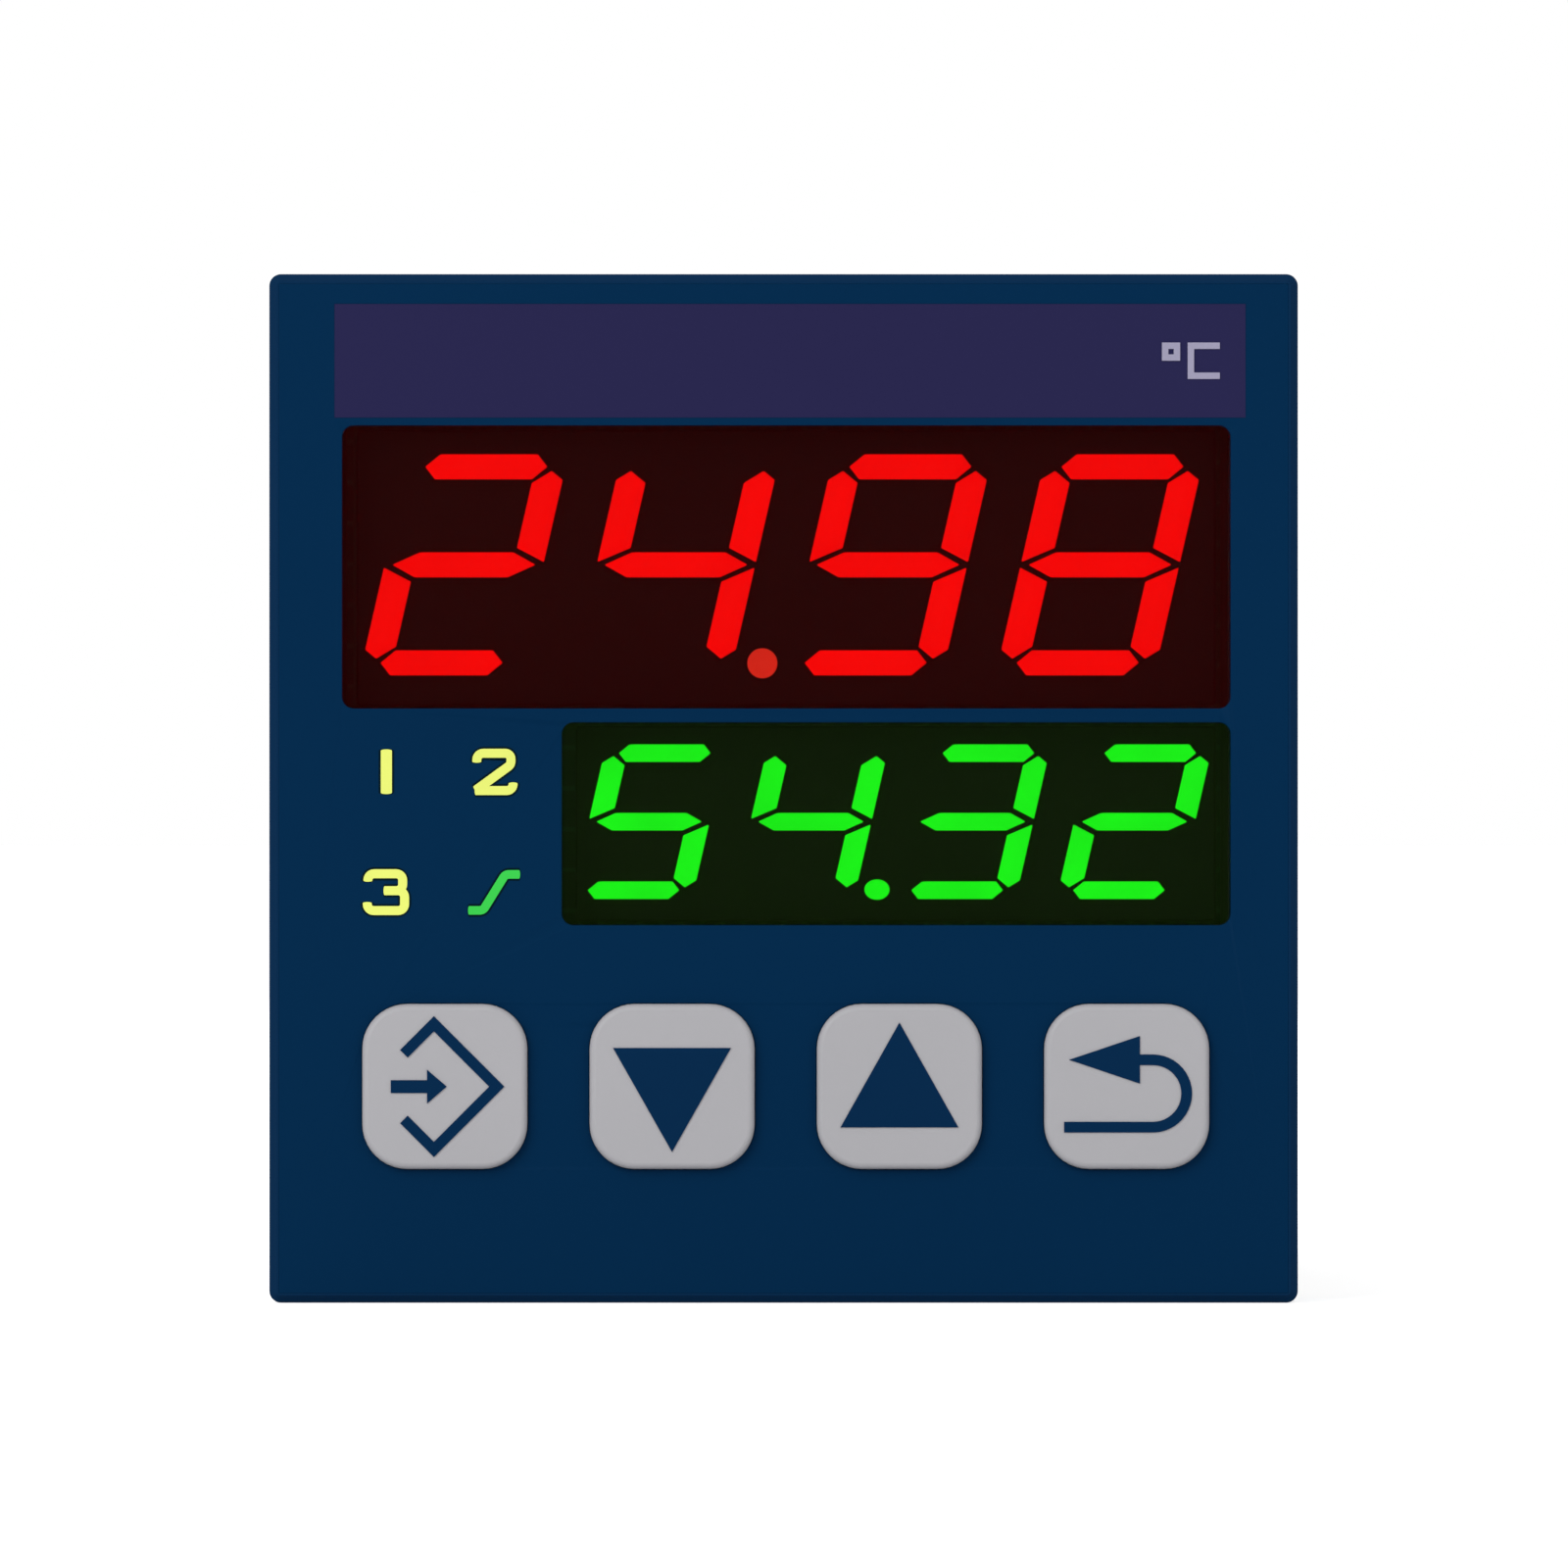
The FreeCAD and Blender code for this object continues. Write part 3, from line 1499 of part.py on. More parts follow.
terminals("right", 1)
terminals("left", -1)

# ---- checks and files -------------------------------------------------------------------
doc.recompute()
for thing in doc.Objects:
    if "Invalid" in thing.State or "Error" in thing.State:
        raise RuntimeError("%s is %s" % (thing.Label, thing.State))
os.makedirs("parts", exist_ok=True)
for thing in nodes:
    shape = thing.Shape
    if shape.isNull() or not shape.isValid() or not shape.Solids:
        raise RuntimeError(thing.Label + " has no valid solid")
    shape.exportStep("parts/%s.step" % thing.Label)
    box = shape.BoundBox
    print(
        "%-24s %2d solids %9.2f mm3  x %.2f %.2f  y %.2f %.2f  z %.2f %.2f"
        % (
            thing.Label,
            len(shape.Solids),
            shape.Volume,
            box.XMin,
            box.XMax,
            box.YMin,
            box.YMax,
            box.ZMin,
            box.ZMax,
        )
    )
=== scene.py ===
import json
import math

import bmesh
import bpy
from bpy.props import FloatProperty, FloatVectorProperty, IntProperty, PointerProperty
from bpy.types import Operator, Panel, PropertyGroup
from mathutils import Matrix, Vector


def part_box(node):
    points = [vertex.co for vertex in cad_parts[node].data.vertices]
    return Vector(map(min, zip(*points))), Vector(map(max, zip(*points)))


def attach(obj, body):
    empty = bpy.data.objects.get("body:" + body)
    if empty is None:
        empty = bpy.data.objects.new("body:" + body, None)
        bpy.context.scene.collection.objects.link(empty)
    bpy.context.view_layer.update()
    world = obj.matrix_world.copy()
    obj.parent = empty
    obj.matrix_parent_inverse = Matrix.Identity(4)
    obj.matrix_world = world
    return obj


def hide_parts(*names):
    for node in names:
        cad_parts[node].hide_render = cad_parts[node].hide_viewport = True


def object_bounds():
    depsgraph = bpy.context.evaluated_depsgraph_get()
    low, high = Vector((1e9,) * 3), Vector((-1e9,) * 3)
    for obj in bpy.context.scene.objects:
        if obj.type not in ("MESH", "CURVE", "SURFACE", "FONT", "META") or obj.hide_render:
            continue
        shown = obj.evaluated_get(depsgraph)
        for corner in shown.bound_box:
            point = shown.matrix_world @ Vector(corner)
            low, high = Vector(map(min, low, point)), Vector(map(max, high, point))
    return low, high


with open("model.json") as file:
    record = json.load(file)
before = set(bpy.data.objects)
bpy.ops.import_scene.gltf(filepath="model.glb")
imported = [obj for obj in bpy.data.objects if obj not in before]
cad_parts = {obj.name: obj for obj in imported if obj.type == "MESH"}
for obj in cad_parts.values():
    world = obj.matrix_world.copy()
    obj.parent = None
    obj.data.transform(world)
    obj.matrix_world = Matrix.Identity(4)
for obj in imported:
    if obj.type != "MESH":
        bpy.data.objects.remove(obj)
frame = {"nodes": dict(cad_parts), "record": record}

bl_info = {
    "name": "Panel Temperature Controller",
    "version": (1, 0, 0),
    "blender": (4, 5, 0),
    "location": "3D View > Sidebar > Controller",
    "description": "Dresses the square panel temperature controller and its stage",
    "category": "Object",
}

CAD_BOX = [list(corner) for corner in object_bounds()]
MM = 0.001
NODES = frame["nodes"]
BODIES = frame["record"]["behaviour"]["bodies"]
BODY_OF = {node: body for body, nodes in BODIES.items() for node in nodes}

# Lengths in millimetres, unless a line says otherwise, and angles in degrees.
MERGE = 0.0005  # points of a solid closer than this are one point
PLATE_MERGE = 0.000001  # the same for a plate, in metres
FLAT_ANGLE = 0.5  # faces that meet flatter than this are one face
SHARP_ANGLE = 32.0  # edges sharper than this are broken
LEAST_RADIUS = 0.3  # bend of a pen stroke's middle line
LAYER = 0.001  # strokes of one figure lie this far apart, so that none share a face

# Sockets of a mix node that mixes colours: factor, both colours and the result.
MIX_FACTOR, MIX_FIRST, MIX_SECOND, MIX_RESULT = 0, 6, 7, 2


# ---- shared shapes ---------------------------------------------------------
def plain_mesh(piece):
    """The piece's mesh as its modifiers or curve settings leave it."""
    scene_graph = bpy.context.evaluated_depsgraph_get()
    return bpy.data.meshes.new_from_object(piece.evaluated_get(scene_graph))


def finish_mesh(piece, angle=40.0):
    """Smooth shading: wide flat faces stay flat and narrow edge breaks turn between them."""
    piece.data.shade_smooth()
    piece.data.set_sharp_from_angle(angle=math.radians(angle))
    weigh = piece.modifiers.new("Weigh", "WEIGHTED_NORMAL")
    weigh.keep_sharp = True
    weigh.weight = 90
    mesh = plain_mesh(piece)
    piece.modifiers.remove(weigh)
    piece.data = mesh


def settle(piece, node, finish, replaces=()):
    """Gives a piece its finish and its body, and hides the CAD nodes it stands for."""
    piece.data.materials.clear()
    piece.data.materials.append(finish)
    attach(piece, BODY_OF[node])
    for name in replaces:
        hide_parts(name)
    return piece


def place_mesh(name, mesh):
    """Puts a mesh or curve into the scene as an object."""
    piece = bpy.data.objects.new(name, mesh)
    bpy.context.scene.collection.objects.link(piece)
    return piece


def mesh_piece(name, shape):
    """Turns a bmesh in millimetres into an object in metres."""
    bmesh.ops.scale(shape, vec=(MM, MM, MM), verts=shape.verts)
    mesh = bpy.data.meshes.new(name)
    shape.to_mesh(mesh)
    shape.free()
    return place_mesh(name, mesh)


def solid_copy(node):
    """A merged copy of a CAD solid, in millimetres."""
    shape = bmesh.new()
    shape.from_mesh(NODES[node].data)
    bmesh.ops.scale(shape, vec=(1 / MM, 1 / MM, 1 / MM), verts=shape.verts)
    bmesh.ops.remove_doubles(shape, verts=shape.verts, dist=MERGE)
    return shape


def moulded_copy(node, width, segments, hollows):
    """A copy of a CAD solid with its sharp edges broken; inner corners only if hollows is set."""
    shape = solid_copy(node)
    bmesh.ops.dissolve_limit(
        shape,
        angle_limit=math.radians(FLAT_ANGLE),
        verts=shape.verts,
        edges=shape.edges,
        use_dissolve_boundaries=False,
    )
    sharp = [
        edge
        for edge in shape.edges
        if len(edge.link_faces) == 2
        and edge.calc_face_angle(0.0) > math.radians(SHARP_ANGLE)
        and (hollows or edge.is_convex)
    ]
    bmesh.ops.bevel(
        shape,
        geom=sharp,
        offset=width,
        offset_type="OFFSET",
        segments=segments,
        profile=0.5,
        affect="EDGES",
        clamp_overlap=True,
    )
    piece = mesh_piece(node + "_shell", shape)
    finish_mesh(piece)
    return piece


def dress(node, finish, width, segments=2, hollows=True):
    """Replaces a CAD node by its moulded copy."""
    shell = moulded_copy(node, width, segments, hollows)
    return settle(shell, node, finish, (node,))


def keep(node, finish):
    """Leaves a CAD node as it is and gives it a finish."""
    mesh = NODES[node].data
    mesh.materials.clear()
    mesh.materials.append(finish)


def node_box(node):
    """Lowest and highest corner of a CAD node, in millimetres."""
    low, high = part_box(node)
    return Vector(low) / MM, Vector(high) / MM


def rounded_loop(half_wide, half_high, corner, steps):
    """Points of a rounded rectangle about its own centre."""
    points = []
    for quarter in range(4):
        turn = quarter * math.pi / 2
        centre = (
            (half_wide - corner) * (1 if quarter in (0, 3) else -1),
            (half_high - corner) * (1 if quarter in (0, 1) else -1),
        )
        for step in range(steps + 1):
            angle = turn + step / steps * math.pi / 2
            points.append(
                (centre[0] + corner * math.cos(angle), centre[1] + corner * math.sin(angle))
            )
    return points


def loft(shape, rings):
    """Skins a list of equal point rings and closes both ends."""
    rows = [[shape.verts.new(point) for point in ring] for ring in rings]
    count = len(rows[0])
    for low, high in zip(rows, rows[1:]):
        for index in range(count):
            after = (index + 1) % count
            shape.faces.new((low[index], low[after], high[after], high[index]))
    shape.faces.new(list(reversed(rows[0])))
    shape.faces.new(rows[-1])


def join(whole, part):
    """Adds the part's mesh to the whole's."""
    shape = bmesh.new()
    shape.from_mesh(whole.data)
    shape.from_mesh(part.data)
    shape.to_mesh(whole.data)
    shape.free()
    bpy.data.objects.remove(part)


def plate(name, loops, near, far, soft=0.0, steps=2):
    """A flat piece cut to loops of x and z, from near to far along y, with soft rims."""
    outline = bpy.data.curves.new(name, "CURVE")
    outline.dimensions = "2D"
    outline.fill_mode = "BOTH"
    outline.extrude = (far - near) / 2 - soft
    outline.bevel_depth = soft
    outline.bevel_resolution = steps
    outline.offset = -soft
    for loop in loops:
        spline = outline.splines.new("POLY")
        spline.points.add(len(loop) - 1)
        for point, (x, z) in zip(spline.points, loop):
            point.co = (x, z, 0, 1)
        spline.use_cyclic_u = True
    cutter = place_mesh(name + "_outline", outline)
    mesh = plain_mesh(cutter)
    bpy.data.objects.remove(cutter)
    middle = Matrix.Translation((0, (near + far) / 2 * MM, 0))
    mesh.transform(middle @ Matrix.Rotation(math.pi / 2, 4, "X") @ Matrix.Scale(MM, 4))
    shape = bmesh.new()
    shape.from_mesh(mesh)
    bmesh.ops.remove_doubles(shape, verts=shape.verts, dist=PLATE_MERGE)
    bmesh.ops.recalc_face_normals(shape, faces=shape.faces)
    shape.to_mesh(mesh)
    shape.free()
    piece = place_mesh(name, mesh)
    finish_mesh(piece, 50)
    return piece


def spans_of(loop):
    """Lowest and highest value of an outline along each of its two axes."""
    return [(min(p[axis] for p in loop), max(p[axis] for p in loop)) for axis in (0, 1)]


def front_loops(node, least):
    """Outlines of a CAD solid's front face that are wider and taller than least."""
    shape = solid_copy(node)
    front = min(point.co.y for point in shape.verts)
    slack = 0.005
    face = {f for f in shape.faces if all(v.co.y < front + slack for v in f.verts)}
    rim = [e for e in shape.edges if sum(f in face for f in e.link_faces) == 1]
    beside = {}
    for edge in rim:
        for a, b in (edge.verts, reversed(edge.verts)):
            beside.setdefault(a.index, []).append(b.index)
    spots = {v.index: (v.co.x, v.co.z) for v in shape.verts}
    shape.free()
    loops = []
    left = set(beside)
    while left:
        start = min(left)
        walk = [start]
        left.discard(start)
        while True:
            ahead = [v for v in beside[walk[-1]] if v in left]
            if not ahead:
                break
            walk.append(ahead[0])
            left.discard(ahead[0])
        loop = [spots[v] for v in walk]
        if min(high - low for low, high in spans_of(loop)) > least:
            loops.append(loop)
    return loops


def rounded_path(corners, radius):
    """Points along a line whose corners are rounded."""
    steps = 6
    end_share, middle_share = 0.9, 0.49
    path = [Vector(corners[0])]
    last = len(corners) - 1
    for index in range(1, last):
        here = Vector(corners[index])
        back = Vector(corners[index - 1]) - here
        ahead = Vector(corners[index + 1]) - here
        room = min(
            back.length * (end_share if index == 1 else middle_share),
            ahead.length * (end_share if index == last - 1 else middle_share),
        )
        back.normalize()
        ahead.normalize()
        half = back.angle(ahead) / 2
        reach = min(radius / math.tan(half), room)
        turn = reach * math.tan(half)
        middle = here + (back + ahead).normalized() * (reach / math.cos(half))
        start = here + back * reach - middle
        end = here + ahead * reach - middle
        sweep = math.atan2(start.x * end.y - start.y * end.x, start.dot(end))
        angle = math.atan2(start.y, start.x)
        for step in range(steps + 1):
            now = angle + sweep * step / steps
            path.append(middle + Vector((turn * math.cos(now), turn * math.sin(now))))
    path.append(Vector(corners[-1]))
    return path


def stroke(corners, wide, radius):
    """The closed outline of a pen stroke of one width with softly rounded ends."""
    path = rounded_path(corners, radius)
    half = wide / 2
    tip_steps, tip_reach = 8, 0.25
    left, right = [], []
    for index, point in enumerate(path):
        ahead = path[min(index + 1, len(path) - 1)] - path[max(index - 1, 0)]
        side = Vector((-ahead.y, ahead.x)).normalized() * half
        left.append(point + side)
        right.append(point - side)
    ends = []
    for point, inner in ((path[-1], path[-2]), (path[0], path[1])):
        out = (point - inner).normalized()
        side = Vector((-out.y, out.x))
        ends.append(
            [
                point + side * half * math.cos(a) + out * half * tip_reach * math.sin(a)
                for a in (math.pi * step / tip_steps for step in range(1, tip_steps))
            ]
        )
    return [(p.x, p.y) for p in left + ends[0] + list(reversed(right)) + ends[1]]


# ---- finishes --------------------------------------------------------------
def shade(name):
    """A new material with its node tree, its shader and the piece's own coordinates."""
    material = bpy.data.materials.new(name)
    material.use_nodes = True
    tree = material.node_tree
    shader = tree.nodes["Principled BSDF"]
    place = tree.nodes.new("ShaderNodeTexCoord")
    return material, tree, shader, place.outputs["Object"]


def cloud(tree, place, scale, detail):
    """Noise over the piece's own coordinates; scale is in features per metre."""
    noise = tree.nodes.new("ShaderNodeTexNoise")
    noise.inputs["Scale"].default_value = scale
    noise.inputs["Detail"].default_value = detail
    tree.links.new(place, noise.inputs["Vector"])
    return noise.outputs["Fac"]


def spread(tree, fac, low, high):
    """Maps the middle share of noise, where most of it lies, to a range of values."""
    node = tree.nodes.new("ShaderNodeMapRange")
    node.inputs["From Min"].default_value = 0.3
    node.inputs["From Max"].default_value = 0.7
    node.inputs["To Min"].default_value = low
    node.inputs["To Max"].default_value = high
    tree.links.new(fac, node.inputs["Value"])
    return node.outputs["Result"]


def mottle(tree, fac, colour, amount):
    """A colour that wanders a little either side of the one given."""
    node = tree.nodes.new("ShaderNodeMix")
    node.data_type = "RGBA"
    low = [channel * (1 - amount) for channel in colour[:3]] + [1]
    high = [min(1, channel * (1 + amount)) for channel in colour[:3]] + [1]
    node.inputs[MIX_FIRST].default_value = low
    node.inputs[MIX_SECOND].default_value = high
    tree.links.new(spread(tree, fac, 0, 1), node.inputs[MIX_FACTOR])
    return node.outputs[MIX_RESULT]


def tint(tree, shader, fac, colour, amount):
    """Gives the shader a mottled base colour."""
    tree.links.new(mottle(tree, fac, colour, amount), shader.inputs["Base Color"])


def sheen(tree, shader, fac, low, high):
    """Gives the shader a roughness that wanders between two values."""
    tree.links.new(spread(tree, fac, low, high), shader.inputs["Roughness"])


def grain(tree, shader, height, depth, strength=1.0):
    """Fine relief: depth is in metres."""
    bump = tree.nodes.new("ShaderNodeBump")
    bump.inputs["Strength"].default_value = strength
    bump.inputs["Distance"].default_value = depth
    tree.links.new(height, bump.inputs["Height"])
    tree.links.new(bump.outputs["Normal"], shader.inputs["Normal"])


def moulded_plastic(
    name, colour, rough=0.5, gloss=0.2, texture=2600, depth=0.000012, mottling=0.04
):
    """Injection-moulded plastic: spark-eroded texture and slow flow marks."""
    material, tree, shader, place = shade(name)
    tint(tree, shader, cloud(tree, place, 90, 2), colour, mottling)
    sheen(tree, shader, cloud(tree, place, 700, 4), rough - 0.03, rough + 0.03)
    shader.inputs["Specular IOR Level"].default_value = gloss
    grain(tree, shader, cloud(tree, place, texture, 4), depth)
    return material


def printed_film(name, colour, rough=0.5, gloss=0.025):
    """Ink behind a fine matt polyester film, with a trace of wear in its sheen."""
    material, tree, shader, place = shade(name)
    tint(tree, shader, cloud(tree, place, 45, 3), colour, 0.025)
    sheen(tree, shader, cloud(tree, place, 300, 5), rough - 0.04, rough + 0.04)
    shader.inputs["Specular IOR Level"].default_value = gloss
    grain(tree, shader, cloud(tree, place, 5200, 2), 0.000004)
    return material


def tinted_window(name, colour, cover):
    """Dyed clear plastic over a display: cover is how much of it hides what is behind."""
    material, tree, shader, place = shade(name)
    tint(tree, shader, cloud(tree, place, 60, 2), colour, 0.03)
    sheen(tree, shader, cloud(tree, place, 120, 3), 0.08, 0.16)
    shader.inputs["Specular IOR Level"].default_value = 0.04
    shader.inputs["Alpha"].default_value = cover
    grain(tree, shader, cloud(tree, place, 140, 2), 0.00001, 0.4)
    return material


def lit(name, colour, strength):
    """A lamp behind a diffusing face: a little uneven, as such lamps are."""
    material, tree, shader, place = shade(name)
    glow = mottle(tree, cloud(tree, place, 320, 2), colour, 0.06)
    tree.links.new(glow, shader.inputs["Emission Color"])
    shader.inputs["Base Color"].default_value = [c * 0.3 for c in colour[:3]] + [1]
    shader.inputs["Emission Strength"].default_value = strength
    shader.inputs["Specular IOR Level"].default_value = 0.1
    shader.inputs["Roughness"].default_value = 0.4
    grain(tree, shader, cloud(tree, place, 3000, 2), 0.000004)
    return material


def metal(name, colour, rough=0.32):
    """Plated or drawn metal with fine directional scratches."""
    material, tree, shader, place = shade(name)
    stretch = tree.nodes.new("ShaderNodeMapping")
    stretch.inputs["Scale"].default_value = (1.0, 0.08, 1.0)
    tree.links.new(place, stretch.inputs["Vector"])
    lines = cloud(tree, stretch.outputs["Vector"], 3600, 3)
    tint(tree, shader, cloud(tree, place, 400, 3), colour, 0.08)
    sheen(tree, shader, lines, rough - 0.08, rough + 0.1)
    shader.inputs["Metallic"].default_value = 1.0
    grain(tree, shader, lines, 0.000006)
    return material


def rubber(name, colour):
    """Foamed rubber: dull, dark and uneven."""
    material, tree, shader, place = shade(name)
    tint(tree, shader, cloud(tree, place, 500, 4), colour, 0.15)
    shader.inputs["Roughness"].default_value = 0.85
    shader.inputs["Specular IOR Level"].default_value = 0.25
    grain(tree, shader, cloud(tree, place, 3800, 5), 0.00003)
    return material


def laminate(name, colour):
    """Circuit board: green mask with paler tracks below it."""
    material, tree, shader, place = shade(name)
    tracks = tree.nodes.new("ShaderNodeTexBrick")
    tracks.inputs["Scale"].default_value = 260
    tracks.inputs["Mortar Size"].default_value = 0.03
    tracks.inputs["Color1"].default_value = list(colour[:3]) + [1]
    tracks.inputs["Color2"].default_value = [c * 0.85 for c in colour[:3]] + [1]
    tracks.inputs["Mortar"].default_value = [min(1, c * 1.7 + 0.01) for c in colour[:3]] + [1]
    turn = tree.nodes.new("ShaderNodeMapping")
    turn.inputs["Rotation"].default_value = (math.radians(90), 0, math.radians(90))
    tree.links.new(place, turn.inputs["Vector"])
    tree.links.new(turn.outputs["Vector"], tracks.inputs["Vector"])
    tree.links.new(tracks.outputs["Color"], shader.inputs["Base Color"])
    shader.inputs["Roughness"].default_value = 0.38
    shader.inputs["Specular IOR Level"].default_value = 0.4
    grain(tree, shader, tracks.outputs["Fac"], 0.00003, 0.5)
    return material


# ---- rows made by geometry nodes -------------------------------------------
def row_tree():
    """Repeats the object's own mesh along a line, with Count and Step as inputs."""
    tree = bpy.data.node_groups.new("Spaced Row", "GeometryNodeTree")
    face = tree.interface
    face.new_socket("Geometry", in_out="INPUT", socket_type="NodeSocketGeometry")
    count = face.new_socket("Count", in_out="INPUT", socket_type="NodeSocketInt")
    step = face.new_socket("Step", in_out="INPUT", socket_type="NodeSocketVector")
    finish = face.new_socket("Finish", in_out="INPUT", socket_type="NodeSocketMaterial")
    face.new_socket("Geometry", in_out="OUTPUT", socket_type="NodeSocketGeometry")
    start = tree.nodes.new("NodeGroupInput")
    line = tree.nodes.new("GeometryNodeMeshLine")
    line.mode = "OFFSET"
    copies = tree.nodes.new("GeometryNodeInstanceOnPoints")
    real = tree.nodes.new("GeometryNodeRealizeInstances")
    coat = tree.nodes.new("GeometryNodeSetMaterial")
    end = tree.nodes.new("NodeGroupOutput")
    link = tree.links.new
    link(start.outputs["Count"], line.inputs["Count"])
    link(start.outputs["Step"], line.inputs["Offset"])
    link(line.outputs["Mesh"], copies.inputs["Points"])
    link(start.outputs["Geometry"], copies.inputs["Instance"])
    link(copies.outputs["Instances"], real.inputs["Geometry"])
    link(real.outputs["Geometry"], coat.inputs["Geometry"])
    link(start.outputs["Finish"], coat.inputs["Material"])
    link(coat.outputs["Geometry"], end.inputs["Geometry"])
    return tree, {"count": count.identifier, "step": step.identifier, "finish": finish.identifier}


def row_of(piece, count, step, finish):
    """Runs the row over a one-off piece and keeps the result as a plain mesh."""
    tree, keys = row_tree()
    maker = piece.modifiers.new("Row", "NODES")
    maker.node_group = tree
    maker[keys["count"]] = count
    maker[keys["step"]] = step
    maker[keys["finish"]] = finish
    mesh = plain_mesh(piece)
    piece.modifiers.remove(maker)
    piece.data = mesh
    bpy.data.node_groups.remove(tree)
    finish_mesh(piece)
    return piece


# ---- what a user can set ---------------------------------------------------
def colour_of(name, words, red, green, blue):
    """A colour property whose default is given as display values of 0 to 255."""
    linear = []
    for value in (red, green, blue):
        share = value / 255
        linear.append(share / 12.92 if share <= 0.04045 else ((share + 0.055) / 1.055) ** 2.4)
    return FloatVectorProperty(
        name=name, description=words, default=linear, subtype="COLOR", size=3, min=0, max=1
    )


def length_of(name, words, default, low, high, precision=5):
    """A length property in metres."""
    return FloatProperty(
        name=name,
        description=words,
        default=default,
        min=low,
        max=high,
        subtype="DISTANCE",
        unit="LENGTH",
        precision=precision,
    )


class ControllerColours(PropertyGroup):
    """Colours of the print, the plastics and the lights"""

    bezel: colour_of("Bezel", "Moulded front rim", 3, 42, 76)
    film: colour_of("Film", "Printed front film", 1, 42, 76)
    band: colour_of("Band", "Header band on the film", 40, 38, 77)
    mark: colour_of("Unit mark", "Lettering on the band", 160, 156, 181)
    upper_glass: colour_of("Upper window", "Red display window", 44, 0, 0)
    lower_glass: colour_of("Lower window", "Green display window", 14, 30, 2)
    upper_light: colour_of("Upper digits", "Lit red digits", 255, 2, 2)
    upper_point: colour_of("Upper point", "Lit point of the red digits", 214, 38, 24)
    lower_light: colour_of("Lower digits", "Lit green digits", 22, 244, 22)
    numeral: colour_of("Numerals", "Lit output numerals", 236, 246, 120)
    # Surround: a dark rim round the lit figures, a little wider than their strokes.
    surround: colour_of("Figure surround", "Dark rim round the lit figures", 2, 26, 36)
    ramp: colour_of("Ramp symbol", "Lit ramp symbol", 60, 214, 80)
    key: colour_of("Keys", "Silicone key caps", 179, 178, 182)
    symbol: colour_of("Key symbols", "Print on the keys", 1, 41, 76)
    case: colour_of("Case", "Case behind the panel", 44, 46, 49)
    holder: colour_of("Mounting frame", "Frame that clamps the case", 52, 54, 57)
    plug: colour_of("Terminal plugs", "Pull-off terminal plugs", 38, 118, 66)


class ControllerShapes(PropertyGroup):
    """Sizes of what is added to the solids"""

    edge: length_of("Edge break", "Rounding of moulded edges", 0.00012, 0.00001, 0.0005)
    key_edge: length_of(
        "Key rounding", "Rounding round the top of each key", 0.00032, 0.00005, 0.0008
    )
    key_fit: length_of(
        "Key fit", "How much the film closes in on each side of a key", 0.00009, 0.0, 0.00011, 6
    )
    cover: FloatProperty(
        name="Window cover",
        description="How much the windows hide what is behind them",
        default=0.45,
        min=0.1,
        max=0.95,
        subtype="FACTOR",
    )
    slot_wide: length_of(
        "Screw slot", "Width of the slot in each terminal screw", 0.0007, 0.0003, 0.0012
    )
    chip_leads: IntProperty(
        name="Chip leads",
        description="Leads along each side of the processor",
        default=11,
        min=4,
        max=20,
    )


class ControllerStage(PropertyGroup):
    """Camera and light"""

    focal: FloatProperty(
        name="Lens", description="Focal length in millimetres", default=400.0, min=50, max=600
    )
    view_wide: length_of(
        "View width", "Width of the picture at the front face", 0.073143, 0.05, 0.5
    )
    aim_height: length_of(
        "Aim height",
        "Height that the camera looks at, above the middle of the front",
        0.000206,
        -0.01,
        0.01,
        6,
    )
    lamp: FloatProperty(
        name="Lamp power",
        description="Share of each soft lamp's power",
        default=1.0,
        min=0,
        max=20,
        unit="POWER",
    )
    fill: FloatProperty(
        name="Fill", description="Strength of the light from all round", default=0.42, min=0, max=2
    )


def colours():
    """The colours set for this scene."""
    return bpy.context.scene.controller_colours


def shapes():
    """The sizes set for this scene."""
    return bpy.context.scene.controller_shapes


# ---- front -----------------------------------------------------------------
class CONTROLLER_OT_bezel(Operator):
    """Makes the moulded bezel rim"""

    bl_idname = "controller.bezel"
    bl_label = "Bezel"

    def execute(self, context):
        finish = moulded_plastic("Bezel Plastic", colours().bezel, 0.55, 0.04, 3000, 0.000008, 0.03)
        dress("front_bezel", finish, shapes().edge / MM, 3)
        return {"FINISHED"}


